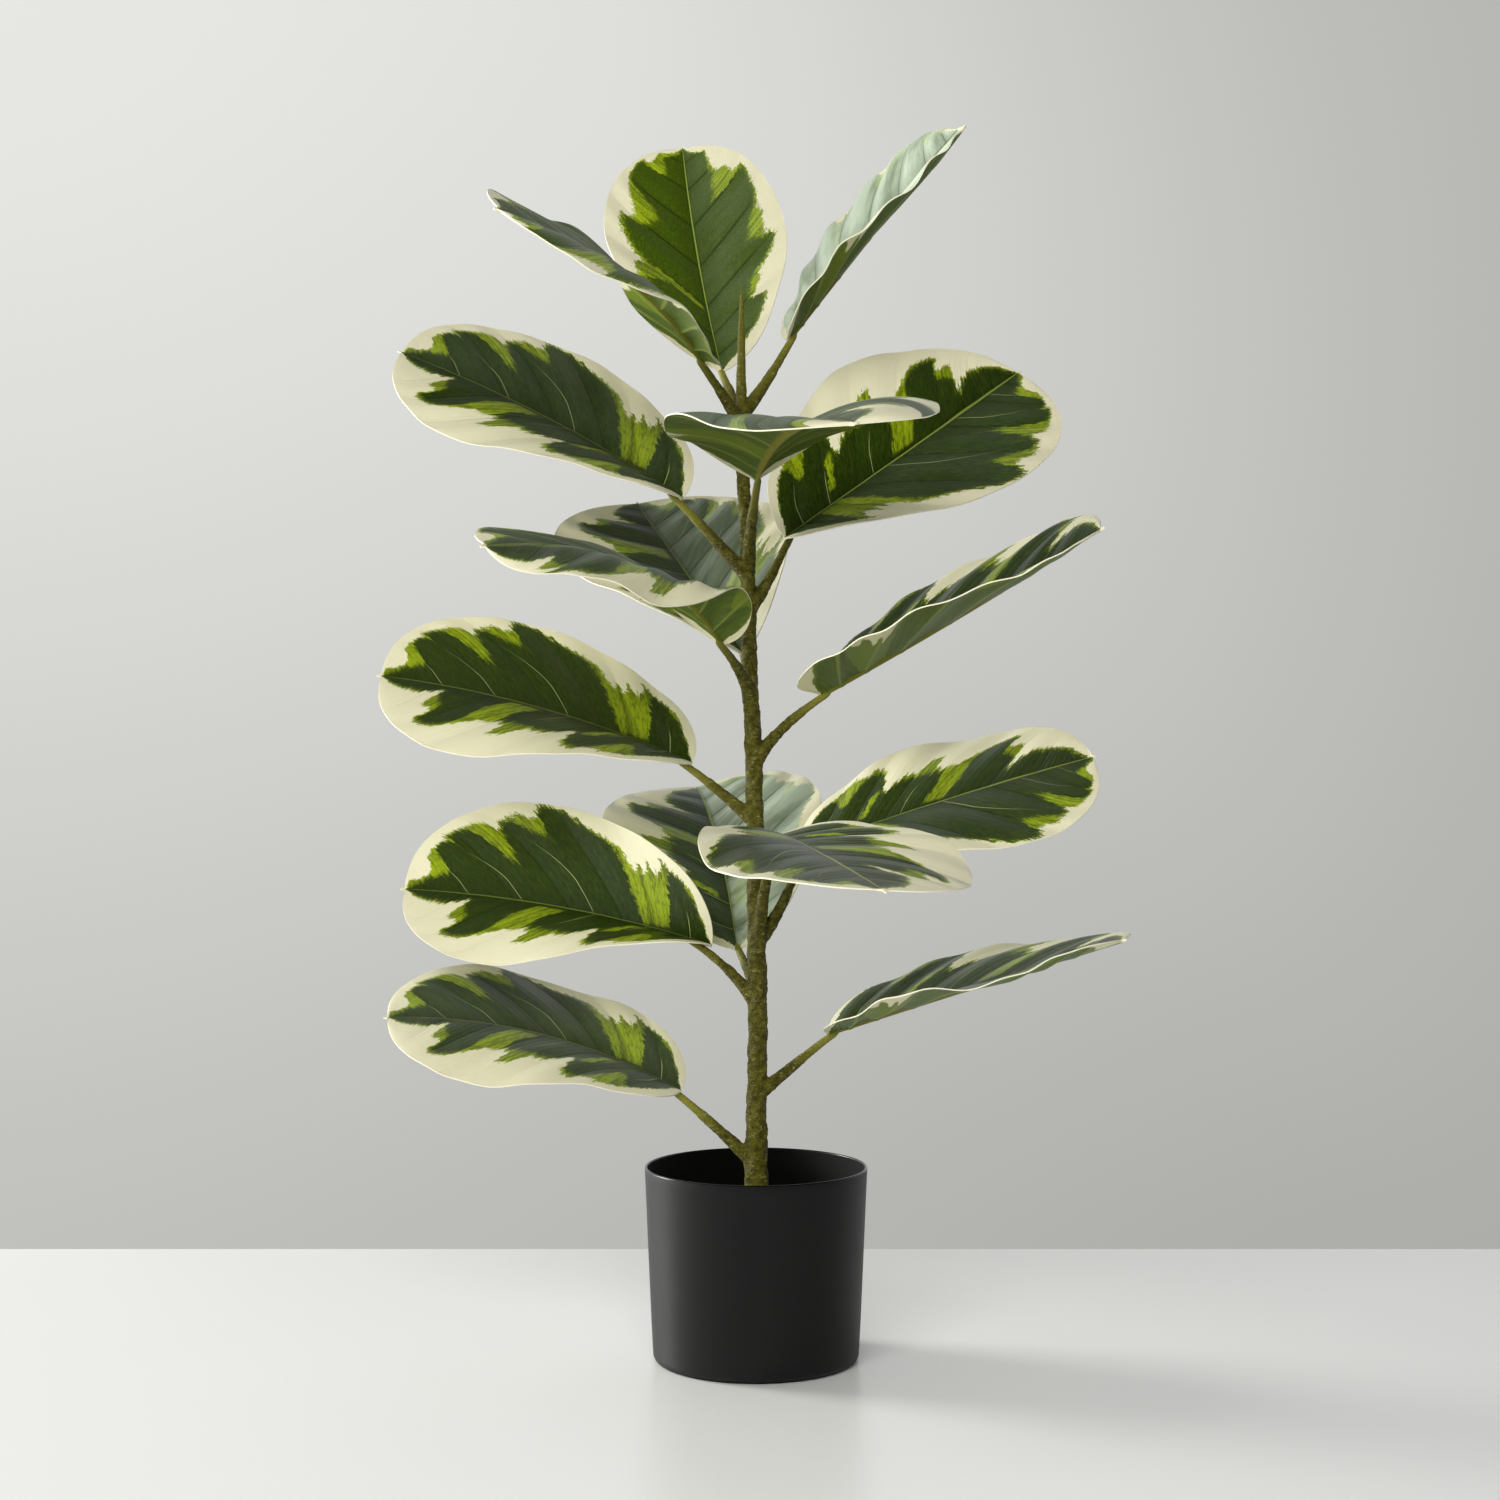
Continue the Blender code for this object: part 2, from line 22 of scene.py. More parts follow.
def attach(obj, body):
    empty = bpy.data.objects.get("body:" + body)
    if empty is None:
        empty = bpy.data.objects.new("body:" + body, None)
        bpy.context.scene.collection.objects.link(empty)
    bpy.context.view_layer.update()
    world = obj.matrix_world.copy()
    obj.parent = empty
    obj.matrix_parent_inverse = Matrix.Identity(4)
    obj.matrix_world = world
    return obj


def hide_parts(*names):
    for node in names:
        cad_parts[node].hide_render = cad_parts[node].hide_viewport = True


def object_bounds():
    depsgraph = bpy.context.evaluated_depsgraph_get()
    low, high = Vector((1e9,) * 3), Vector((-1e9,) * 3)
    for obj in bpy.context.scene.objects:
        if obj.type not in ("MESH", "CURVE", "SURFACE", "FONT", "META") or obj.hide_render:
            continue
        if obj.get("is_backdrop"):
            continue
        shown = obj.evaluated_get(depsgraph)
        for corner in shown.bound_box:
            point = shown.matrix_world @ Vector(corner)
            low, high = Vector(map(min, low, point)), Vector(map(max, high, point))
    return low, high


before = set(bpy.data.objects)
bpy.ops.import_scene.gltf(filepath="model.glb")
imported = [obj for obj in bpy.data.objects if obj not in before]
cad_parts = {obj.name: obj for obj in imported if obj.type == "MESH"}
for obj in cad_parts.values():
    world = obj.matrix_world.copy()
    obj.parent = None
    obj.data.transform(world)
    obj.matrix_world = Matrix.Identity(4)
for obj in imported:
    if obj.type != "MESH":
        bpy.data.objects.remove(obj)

log = logging.getLogger("fig")
Triple = tuple[float, float, float]
Tone = Triple
Pair = tuple[float, float]
Curve = tuple[Pair, ...]
Socket = bpy.types.NodeSocket
Rings = Callable[[float], tuple]


# Leaves


@dataclass(frozen=True)
class Leaf:
    """One blade and its stalk: places in millimetres, angles in degrees.

    heading and rise give the direction of the midrib at its base, sweep and droop what is added to heading
    and taken from rise by its tip. roll and twist turn the blade about the midrib, fold lifts its halves
    and curl bends them further towards the margins. A wave is its height and its phase. print_right and
    print_left move the markings of a half along the blade: a slide, a lean that grows towards the margin,
    and a spread about the middle. Below 1, print_breadth draws the green out towards the margins, and
    print_fill does so near the tip on the left. bloom is how much painted sheen, a pale grey-blue painted
    reflection, the right and left halves carry; pleat multiplies the pleats and scallop is their height at
    the margins.
    multiplies the pleats and scallop is their height at the margins.
    """

    name: str
    base: Triple
    heading: float
    rise: float
    droop: float
    sweep: float
    roll: float
    twist: float
    fold_base: float
    fold_tip: float
    curl_right: float
    curl_left: float
    length: float
    half_width: float
    wave_right: Pair
    wave_left: Pair
    stalk_foot: float
    stalk_rise: float
    stalk_handle: float = 0.36
    stalk_reach: float = 0.0
    lobe_right: float = 0.0
    lobe_left: float = 0.0
    print_right: Triple = (0.0, 0.0, 0.0)
    print_left: Triple = (0.0, 0.0, 0.0)
    print_breadth: float = 1.0
    print_fill: float = 0.0
    rib_light: float = 0.35
    # Painted sheen, a pale painted reflection, on the right and left halves.
    painted_sheen: Pair = (0.0, 0.0)
    pleat: float = 1.7
    scallop: float = 0.9


# base, heading to half_width and the waves are a least-squares fit to points marked by eye, worked out by
# another program and then rounded. stalk_foot and stalk_rise began from such a fit, and many were changed
# by hand. Every other value was set one by one.
LEAVES = [
    Leaf(
        "leaf_01",
        base=(-32, -29, 622),
        heading=244, rise=30, droop=22, sweep=-25,
        roll=30, twist=-2,
        fold_base=9, fold_tip=12, curl_right=-14, curl_left=-28,
        length=196, half_width=63,
        wave_right=(-6.3, 26), wave_left=(-4.3, -13),
        stalk_foot=587, stalk_rise=45,
        print_breadth=0.80, pleat=1.6, scallop=1.2,
    ),
    Leaf(
        "leaf_02",
        base=(-22, 45, 628),
        heading=108, rise=53, droop=-9, sweep=-6,
        roll=5, twist=9,
        fold_base=35, fold_tip=11, curl_right=-6, curl_left=-8,
        length=206, half_width=62,
        wave_right=(-0.6, 22), wave_left=(0.6, 0),
        stalk_foot=589, stalk_rise=45,
        rib_light=1.0, painted_sheen=(0.07, 0.0), pleat=2.2,
    ),
    Leaf(
        "leaf_03",
        base=(20, 20, 645),
        heading=11, rise=52, droop=2, sweep=-1,
        roll=-4, twist=-17,
        fold_base=20, fold_tip=13, curl_right=9, curl_left=-17,
        length=181, half_width=63,
        wave_right=(1.9, -50), wave_left=(-1.7, 40),
        stalk_foot=594, stalk_rise=44,
        print_breadth=0.74, painted_sheen=(0.95, 0.95), pleat=4.4, scallop=3.6,
    ),
    Leaf(
        "leaf_04",
        base=(-46, 3, 542),
        heading=171, rise=34, droop=13, sweep=10,
        roll=26, twist=14,
        fold_base=30, fold_tip=7, curl_right=-7, curl_left=-14,
        length=206, half_width=74,
        wave_right=(-0.3, 10), wave_left=(-2.8, 26),
        stalk_foot=492, stalk_rise=48, stalk_reach=4,
        print_right=(0.01, 0.0, 0.0), print_left=(-0.02, 0.0, 0.0),
        painted_sheen=(0.04, 0.0),
    ),
    Leaf(
        "leaf_05",
        base=(0, -47, 548),
        heading=279, rise=16, droop=28, sweep=11,
        roll=-12, twist=-2,
        fold_base=42, fold_tip=18, curl_right=-19, curl_left=-50,
        length=210, half_width=76,
        wave_right=(-5.8, -96), wave_left=(3.0, 79),
        stalk_foot=500, stalk_rise=60,
        print_breadth=0.66, painted_sheen=(0.20, 0.20), pleat=1.4,
    ),
    Leaf(
        "leaf_06",
        base=(18, 4, 517),
        heading=15, rise=35, droop=2, sweep=18,
        roll=-42, twist=3,
        fold_base=37, fold_tip=5, curl_right=-7, curl_left=-5,
        length=208, half_width=79,
        wave_right=(2.0, 75), wave_left=(-3.4, -66),
        stalk_foot=472, stalk_rise=45,
        print_right=(-0.026, 0.0, 0.042), print_left=(0.045, 0.0, 0.0), print_fill=0.19,
        rib_light=0.7, painted_sheen=(0.035, 0.0),
    ),
    Leaf(
        "leaf_07",
        base=(-7, 33, 444),
        heading=121, rise=37, droop=8, sweep=-10,
        roll=25, twist=-16,
        fold_base=49, fold_tip=8, curl_right=-5, curl_left=-6,
        length=211, half_width=83,
        wave_right=(0.0, 0), wave_left=(0.6, 0),
        stalk_foot=418, stalk_rise=40,
        print_right=(0.0, -0.13, 0.0), print_left=(-0.075, 0.12, 0.0), print_fill=0.18,
        rib_light=0.4, painted_sheen=(0.28, 0.05), pleat=4.4, scallop=1.6,
    ),
    Leaf(
        "leaf_08",
        base=(-21, -35, 448),
        heading=245, rise=36, droop=45, sweep=-33,
        roll=5, twist=23,
        fold_base=35, fold_tip=1, curl_right=-20, curl_left=-29,
        length=211, half_width=53,
        wave_right=(4.7, 225), wave_left=(-9.7, 150),
        stalk_foot=412, stalk_rise=74,
        print_left=(0.07, 0.0, 0.0), print_breadth=0.82, print_fill=0.32,
        painted_sheen=(0.08, 0.08), pleat=3.4, scallop=1.4,
    ),
    Leaf(
        "leaf_09",
        base=(40, -3, 418),
        heading=335, rise=26, droop=-4, sweep=0,
        roll=-24, twist=-6,
        fold_base=37, fold_tip=13, curl_right=11, curl_left=-29,
        length=209, half_width=78,
        wave_right=(-2.2, -64), wave_left=(-1.8, 63),
        stalk_foot=372, stalk_rise=68,
        lobe_right=9,
        print_breadth=0.80, print_fill=0.16, pleat=3.6, scallop=2.6,
    ),
    Leaf(
        "leaf_10",
        base=(-40, 2, 375),
        heading=178, rise=24, droop=17, sweep=5,
        roll=23, twist=20,
        fold_base=26, fold_tip=10, curl_right=-7, curl_left=-14,
        length=207, half_width=74,
        wave_right=(0.3, -11), wave_left=(-2.6, 32),
        stalk_foot=338, stalk_rise=42, stalk_reach=3,
    ),
    Leaf(
        "leaf_11",
        base=(28, -1, 321),
        heading=353, rise=20, droop=5, sweep=8,
        roll=-22, twist=-10,
        fold_base=26, fold_tip=3, curl_right=-14, curl_left=-13,
        length=194, half_width=74,
        wave_right=(-1.3, -9), wave_left=(-3.9, 60),
        stalk_foot=262, stalk_rise=45,
        print_right=(-0.083, 0.0, 0.048), print_left=(0.09, 0.0, -0.03), print_fill=0.19,
        rib_light=0.6, painted_sheen=(0.02, 0.0),
    ),
    Leaf(
        "leaf_12",
        base=(16, -45, 332),
        heading=282, rise=-4, droop=5, sweep=5,
        roll=-1, twist=5,
        fold_base=23, fold_tip=3, curl_right=-11, curl_left=-7,
        length=208, half_width=76,
        wave_right=(-3.9, 66), wave_left=(-3.1, 11),
        stalk_foot=236, stalk_rise=86, stalk_handle=0.75,
        print_right=(-0.03, 0.0, 0.04), print_left=(0.21, -0.20, 0.0), print_fill=0.18,
        rib_light=0.9,
    ),
    Leaf(
        "leaf_13",
        base=(-12, 42, 254),
        heading=101, rise=52, droop=44, sweep=-2,
        roll=10, twist=-1,
        fold_base=29, fold_tip=12, curl_right=-7, curl_left=-10,
        length=211, half_width=76,
        wave_right=(-1.6, 0), wave_left=(0.0, 0),
        stalk_foot=230, stalk_rise=38,
        print_left=(0.13, 0.0, -0.045), print_fill=0.18,
        rib_light=0.8, painted_sheen=(0.78, 0.06), pleat=2.8, scallop=1.4,
    ),
    Leaf(
        "leaf_14",
        base=(-28, 6, 260),
        heading=165, rise=16, droop=13, sweep=15,
        roll=47, twist=1,
        fold_base=59, fold_tip=13, curl_right=5, curl_left=-8,
        length=206, half_width=67,
        wave_right=(3.3, 16), wave_left=(2.2, -113),
        stalk_foot=221, stalk_rise=62, stalk_reach=10,
        print_right=(0.02, 0.0, 0.0), print_left=(0.02, 0.0, 0.0),
    ),
    Leaf(
        "leaf_15",
        base=(-47, 6, 168),
        heading=175, rise=29, droop=30, sweep=14,
        roll=16, twist=7,
        fold_base=19, fold_tip=6, curl_right=-10, curl_left=-18,
        length=196, half_width=74,
        wave_right=(4.8, -3), wave_left=(3.0, -119),
        stalk_foot=122, stalk_rise=43, stalk_reach=2,
        painted_sheen=(0.05, 0.03),
    ),
    Leaf(
        "leaf_16",
        base=(45, 4, 205),
        heading=341, rise=19, droop=1, sweep=-10,
        roll=-18, twist=7,
        fold_base=26, fold_tip=7, curl_right=10, curl_left=-22,
        length=204, half_width=74,
        wave_right=(-4.1, 47), wave_left=(-2.1, 23),
        stalk_foot=166, stalk_rise=36,
        print_breadth=0.80, print_fill=0.16,
        painted_sheen=(0.06, 0.06), pleat=3.0, scallop=2.2,
    ),
]


# Nodes


class Graph:
    """Short calls that add and join the nodes of one material or surround."""

    def __init__(self, owner: bpy.types.Material | bpy.types.World) -> None:
        """Switch on the nodes of a new material or surround.

        Args:
            owner: What the nodes belong to.
        """
        self.owner = owner
        owner.use_nodes = True
        self.tree = owner.node_tree

    def feed(self, socket: Socket, value: Any) -> None:
        """Join a socket to another one, or set what it holds.

        Args:
            socket: Input to fill.
            value: Socket to join, or a number, vector or colour.
        """
        if isinstance(value, bpy.types.NodeSocket):
            self.tree.links.new(value, socket)
        elif socket.type == "RGBA" and len(value) == 3:
            socket.default_value = (*value, 1.0)
        else:
            socket.default_value = value

    def node(self, kind: str, inputs: dict[Any, Any] | None = None, **settings: Any) -> bpy.types.Node:
        """Add a node.

        Args:
            kind: Type name without the leading "ShaderNode".
            inputs: Values or sockets by input name or number.
            settings: The node's own options.

        Returns:
            The new node.
        """
        new = self.tree.nodes.new("ShaderNode" + kind)
        for option, value in settings.items():
            setattr(new, option, value)
        for key, value in (inputs or {}).items():
            self.feed(new.inputs[key], value)
        return new

    def math(self, operation: str, first: Any, second: Any = 0.0, third: Any = 0.0) -> Socket:
        """One sum or function of numbers."""
        return self.node("Math", {0: first, 1: second, 2: third}, operation=operation).outputs[0]

    def plus(self, first: Any, *others: Any) -> Socket:
        """Sum of numbers, added from the left."""
        return reduce(lambda total, other: self.math("ADD", total, other), others, first)

    def times(self, first: Any, *others: Any) -> Socket:
        """Product of numbers, multiplied from the left."""
        return reduce(lambda total, other: self.math("MULTIPLY", total, other), others, first)

    def minus(self, first: Any, second: Any) -> Socket:
        """Difference of two numbers."""
        return self.math("SUBTRACT", first, second)

    def linear(self, value: Any, factor: Any, offset: Any) -> Socket:
        """A number times a factor, plus an offset."""
        return self.math("MULTIPLY_ADD", value, factor, offset)

    def ease(self, value: Any, low: float, high: float, start: float = 0.0, end: float = 1.0) -> Socket:
        """Smooth step of a number, from start at low to end at high.

        Args:
            value: Number that is read.
            low: Where the step starts.
            high: Where it ends, which may be below low.
            start: Result before the step.
            end: Result after it.

        Returns:
            The stepped number.
        """
        inputs = {"Value": value, "From Min": low, "From Max": high, "To Min": start, "To Max": end}
        return self.node("MapRange", inputs, interpolation_type="SMOOTHSTEP").outputs["Result"]

    def span(self, value: Any, low: float, high: float) -> Socket:
        """Straight scale of a number from 0..1 to low..high, held at its ends."""
        return self.node("MapRange", {"Value": value, "To Min": low, "To Max": high}).outputs["Result"]

    def mix(self, factor: Any, first: Any, second: Any) -> Socket:
        """Mix two colours.

        Args:
            factor: Share of the second colour, from 0 to 1.
            first: Colour or socket.
            second: Colour or socket.

        Returns:
            The mixed colour.
        """
        new = self.node("Mix", data_type="RGBA")
        sockets = [socket for socket in new.inputs if socket.enabled]
        for socket, value in zip(sockets, (factor, first, second)):
            self.feed(socket, value)
        return next(socket for socket in new.outputs if socket.enabled)

    def scaled(self, vector: Any, scale: Tone) -> Socket:
        """A vector stretched by its own factor along each axis."""
        return self.node("VectorMath", {0: vector, 1: scale}, operation="MULTIPLY").outputs[0]

    def noise(self, vector: Any, scale: float, detail: float = 2.0, rough: float = 0.5) -> Socket:
        """Soft noise about 0.5."""
        inputs = {"Vector": vector, "Scale": scale, "Detail": detail, "Roughness": rough}
        return self.node("TexNoise", inputs).outputs[0]

    def curve(self, value: Any, points: Curve) -> Socket:
        """A number read off a line of points, straight between them.

        Args:
            value: Place along the line, from 0 to 1.
            points: Places and heights, in order.

        Returns:
            Height of the line at the place.
        """
        new = self.node("FloatCurve", {"Value": value})
        line = new.mapping.curves[0]
        line.points[0].location = points[0]
        line.points[-1].location = points[-1]
        for place, height in points[1:-1]:
            line.points.new(place, height)
        for point in line.points:
            point.handle_type = "VECTOR"
        new.mapping.update()
        return new.outputs[0]

    def bump(self, height: Any, distance: float, strength: Any = 1.0) -> Socket:
        """Fine relief as a shading normal."""
        return self.node("Bump", {"Height": height, "Distance": distance, "Strength": strength}).outputs[0]

    def attribute(self, name: str) -> Socket:
        """A number that the mesh keeps at each of its vertices."""
        return self.node("Attribute", attribute_name=name).outputs["Fac"]

    def object_place(self) -> Socket:
        """Object coordinates."""
        return self.node("TexCoord").outputs["Object"]

    def finish(self, **inputs: Any) -> bpy.types.Material:
        """Set the inputs of the material's shader.

        Args:
            inputs: Values or sockets by input name, with _ for a space.

        Returns:
            The finished material.
        """
        shader = self.tree.nodes["Principled BSDF"]
        for key, value in inputs.items():
            self.feed(shader.inputs[key.replace("_", " ")], value)
        return self.owner


class BladeMap:
    """Nodes that read the blade's own map: along it by the veins' starts, across it, and on which half."""

    def __init__(self, graph: Graph) -> None:
        """Read and split the map.

        Args:
            graph: Nodes of the blade's material.
        """
        self.graph = graph
        self.map = graph.node("UVMap", uv_map="Blade").outputs[0]
        split = graph.node("SeparateXYZ", {0: self.map}).outputs
        side = graph.linear(split[1], 2.0, -1.0)
        self.along = split[0]
        self.span = graph.math("ABSOLUTE", side)
        self.right = graph.math("GREATER_THAN", side, 0.0)

    def noise(self, scale: Tone, detail: float = 2.0, rough: float = 0.6) -> Socket:
        """Noise with its own scale along and across the blade."""
        return self.graph.noise(self.graph.scaled(self.map, scale), 1.0, detail, rough)

    def half(self, right: bool) -> Socket:
        """1 on one half of the blade and 0 on the other."""
        return self.right if right else self.graph.minus(1.0, self.right)

    def reach(self, place: Socket, on_right: Curve, on_left: Curve) -> Socket:
        """How far from the rib a colour reaches.

        Args:
            place: Place along the blade.
            on_right: Edge of the colour on the right half.
            on_left: Edge of the colour on the left half.

        Returns:
            Share of the half breadth, on whichever half the point is.
        """
        right, left = self.graph.curve(place, on_right), self.graph.curve(place, on_left)
        part = self.graph.times(self.graph.minus(right, left), self.right)
        return self.graph.plus(left, part)


# Markings


@dataclass(frozen=True)
class Stripe:
    """Lime stripe inside the green: its middle at the rib, lean, bow, half breadth and reach."""

    middle: float
    lean: float
    bow: float
    breadth: float
    start: float
    end: float
    right: bool


@dataclass(frozen=True)
class LightVein:
    """Thin pale side vein: where it leaves the rib, where its bend starts, the bend, its end and its half."""

    start: float
    lean: float
    bend_from: float
    bend: float
    end: float
    right: bool


@dataclass(frozen=True)
class Markings:
    """Edges of the green and of the dark green on both halves.

    Each edge is a line of points: the place along the blade, in vein coordinates, and the share of the half
    breadth that the colour reaches from the rib. They were read off pictures that lay the photographed
    blades flat.
    """

    green_right: Curve
    dark_right: Curve
    green_left: Curve
    dark_left: Curve
    stripes: tuple[Stripe, ...]
    veins: tuple[LightVein, ...]


FEATHERED = Markings(
    green_right=(
        (0, 0), (0.018, 0.30), (0.035, 0.55), (0.05, 0.60), (0.065, 0.75), (0.08, 0.83), (0.13, 0.87),
        (0.152, 0.90), (0.158, 0.74), (0.17, 0.66), (0.185, 0.77), (0.197, 0.58), (0.21, 0.72), (0.219, 0.58),
        (0.23, 0.66), (0.24, 0.77), (0.29, 0.85), (0.31, 0.93), (0.34, 0.99), (0.37, 0.98), (0.385, 0.88),
        (0.40, 0.84), (0.42, 0.86), (0.45, 0.86), (0.48, 0.84), (0.50, 0.78), (0.515, 0.72), (0.53, 0.80),
        (0.55, 0.85), (0.60, 0.83), (0.65, 0.85), (0.69, 0.82), (0.71, 0.76), (0.76, 0.75), (0.80, 0.70),
        (0.84, 0.62), (0.855, 0.50), (0.87, 0.36), (0.88, 0.28), (0.90, 0.26), (0.935, 0.22), (0.95, 0.27),
        (0.965, 0.30), (0.975, 0.12), (0.985, 0), (1, 0),
    ),
    dark_right=(
        (0, 0), (0.02, 0.25), (0.03, 0.45), (0.05, 0.54), (0.07, 0.70), (0.10, 0.82), (0.14, 0.87),
        (0.146, 0.06), (0.245, 0.03), (0.249, 0.70), (0.27, 0.79), (0.30, 0.86), (0.34, 0.98), (0.37, 0.96),
        (0.385, 0.84), (0.395, 0.70), (0.41, 0.66), (0.43, 0.72), (0.46, 0.82), (0.48, 0.84), (0.49, 0.80),
        (0.50, 0.74), (0.515, 0.70), (0.53, 0.55), (0.555, 0.38), (0.575, 0.42), (0.59, 0.62), (0.60, 0.80),
        (0.65, 0.84), (0.69, 0.78), (0.70, 0.66), (0.71, 0.74), (0.76, 0.74), (0.79, 0.66), (0.80, 0.50),
        (0.805, 0.30), (0.82, 0.26), (0.86, 0.24), (0.90, 0.21), (0.93, 0.14), (0.96, 0.10), (0.975, 0.04),
        (1, 0),
    ),
    green_left=(
        (0, 0), (0.02, 0.25), (0.035, 0.55), (0.055, 0.70), (0.08, 0.80), (0.12, 0.85), (0.15, 0.91),
        (0.17, 0.92), (0.185, 0.84), (0.20, 0.82), (0.215, 0.87), (0.235, 0.84), (0.25, 0.76), (0.26, 0.60),
        (0.275, 0.44), (0.285, 0.42), (0.30, 0.48), (0.315, 0.54), (0.34, 0.55), (0.36, 0.54), (0.37, 0.66),
        (0.39, 0.70), (0.41, 0.67), (0.42, 0.51), (0.45, 0.47), (0.50, 0.49), (0.52, 0.56), (0.54, 0.66),
        (0.56, 0.74), (0.60, 0.77), (0.64, 0.76), (0.665, 0.72), (0.672, 0.58), (0.68, 0.50), (0.70, 0.47),
        (0.73, 0.47), (0.745, 0.40), (0.752, 0.22), (0.758, 0.13), (0.77, 0.12), (0.79, 0.17), (0.81, 0.22),
        (0.85, 0.25), (0.90, 0.24), (0.94, 0.22), (0.96, 0.14), (0.975, 0.08), (0.985, 0), (1, 0),
    ),
    dark_left=(
        (0, 0), (0.02, 0.20), (0.035, 0.50), (0.055, 0.65), (0.08, 0.77), (0.11, 0.82), (0.122, 0.78),
        (0.135, 0.56), (0.155, 0.50), (0.17, 0.60), (0.19, 0.74), (0.205, 0.80), (0.23, 0.80), (0.245, 0.72),
        (0.258, 0.56), (0.27, 0.43), (0.285, 0.41), (0.30, 0.46), (0.315, 0.51), (0.35, 0.51), (0.36, 0.48),
        (0.40, 0.48), (0.42, 0.46), (0.45, 0.44), (0.50, 0.44), (0.53, 0.50), (0.545, 0.55), (0.56, 0.66),
        (0.60, 0.74), (0.64, 0.73), (0.66, 0.66), (0.668, 0.50), (0.675, 0.42), (0.70, 0.36), (0.72, 0.30),
        (0.74, 0.22), (0.755, 0.12), (0.77, 0.10), (0.80, 0.17), (0.85, 0.21), (0.90, 0.20), (0.93, 0.17),
        (0.96, 0.10), (0.975, 0.04), (1, 0),
    ),
    stripes=(
        Stripe(middle=0.515, lean=0.125, bow=-0.31, breadth=0.043, start=0.03, end=0.50, right=False),
        Stripe(middle=0.225, lean=0.05, bow=0.0, breadth=0.012, start=0.12, end=0.47, right=False),
    ),
    veins=(
        LightVein(start=0.075, lean=0.03, bend_from=0.3, bend=0.05, end=0.52, right=True),
        LightVein(start=0.405, lean=0.0, bend_from=0.28, bend=0.27, end=0.68, right=True),
        LightVein(start=0.632, lean=0.0, bend_from=0.18, bend=0.33, end=0.55, right=True),
        LightVein(start=0.795, lean=0.01, bend_from=0.15, bend=0.20, end=0.34, right=True),
        LightVein(start=0.085, lean=0.03, bend_from=0.3, bend=0.16, end=0.62, right=False),
        LightVein(start=0.205, lean=0.05, bend_from=0.3, bend=0.10, end=0.42, right=False),
        LightVein(start=0.395, lean=-0.02, bend_from=0.2, bend=0.20, end=0.40, right=False),
    ),
)

BLOTCHED = Markings(
    green_right=(
        (0, 0), (0.02, 0.35), (0.05, 0.60), (0.10, 0.74), (0.12, 0.82), (0.16, 0.86), (0.18, 0.85),
        (0.195, 0.62), (0.21, 0.68), (0.23, 0.72), (0.25, 0.68), (0.27, 0.80), (0.30, 0.89), (0.32, 0.88),
        (0.335, 0.78), (0.36, 0.77), (0.40, 0.79), (0.44, 0.76), (0.46, 0.80), (0.50, 0.83), (0.53, 0.82),
        (0.56, 0.84), (0.60, 0.87), (0.64, 0.86), (0.655, 0.76), (0.67, 0.66), (0.70, 0.65), (0.74, 0.60),
        (0.755, 0.48), (0.80, 0.42), (0.84, 0.44), (0.88, 0.47), (0.905, 0.58), (0.92, 0.40), (0.95, 0.20),
        (0.98, 0.08), (1, 0),
    ),
    dark_right=(
        (0, 0), (0.02, 0.30), (0.05, 0.55), (0.12, 0.78), (0.16, 0.84), (0.18, 0.80), (0.195, 0.58),
        (0.21, 0.60), (0.25, 0.60), (0.27, 0.76), (0.30, 0.86), (0.325, 0.84), (0.335, 0.74), (0.35, 0.66),
        (0.37, 0.58), (0.40, 0.60), (0.43, 0.66), (0.45, 0.74), (0.50, 0.80), (0.56, 0.82), (0.60, 0.86),
        (0.635, 0.80), (0.645, 0.60), (0.65, 0.35), (0.66, 0.28), (0.70, 0.32), (0.74, 0.34), (0.76, 0.40),
        (0.80, 0.36), (0.84, 0.40), (0.88, 0.44), (0.905, 0.50), (0.92, 0.34), (0.95, 0.15), (0.98, 0.05),
        (1, 0),
    ),
    green_left=(
        (0, 0), (0.02, 0.25), (0.05, 0.60), (0.10, 0.75), (0.16, 0.82), (0.22, 0.86), (0.25, 0.80),
        (0.28, 0.78), (0.30, 0.66), (0.33, 0.74), (0.36, 0.80), (0.40, 0.84), (0.44, 0.82), (0.455, 0.70),
        (0.48, 0.66), (0.52, 0.68), (0.56, 0.76), (0.60, 0.80), (0.64, 0.88), (0.68, 0.86), (0.72, 0.90),
        (0.76, 0.88), (0.79, 0.84), (0.805, 0.70), (0.83, 0.62), (0.86, 0.60), (0.88, 0.66), (0.91, 0.70),
        (0.925, 0.50), (0.94, 0.35), (0.96, 0.22), (0.98, 0.08), (1, 0),
    ),
    dark_left=(
        (0, 0), (0.02, 0.20), (0.05, 0.50), (0.10, 0.66), (0.16, 0.76), (0.22, 0.78), (0.25, 0.72),
        (0.265, 0.50), (0.30, 0.55), (0.33, 0.66), (0.36, 0.76), (0.42, 0.80), (0.44, 0.76), (0.455, 0.60),
        (0.48, 0.52), (0.52, 0.44), (0.55, 0.40), (0.59, 0.44), (0.61, 0.66), (0.63, 0.82), (0.68, 0.84),
        (0.72, 0.86), (0.77, 0.84), (0.79, 0.60), (0.80, 0.34), (0.82, 0.30), (0.86, 0.34), (0.89, 0.44),
        (0.91, 0.40), (0.93, 0.28), (0.95, 0.12), (0.98, 0.04), (1, 0),
    ),
    stripes=(Stripe(middle=0.27, lean=0.05, bow=0.0, breadth=0.014, start=0.05, end=0.55, right=False),),
    veins=(),
)


class Pattern(Enum):
    """The two ways in which the blades are marked."""

    FEATHERED = "feathered"
    BLOTCHED = "blotched"

    def markings(self) -> Markings:
        """The edges that belong to the pattern."""
        return {"feathered": FEATHERED, "blotched": BLOTCHED}[self.value]


# Finishes


def shaded(tone: Tone, factor: float) -> Tone:
    """A tone made darker or lighter by a factor."""
    return tuple(factor * channel for channel in tone)


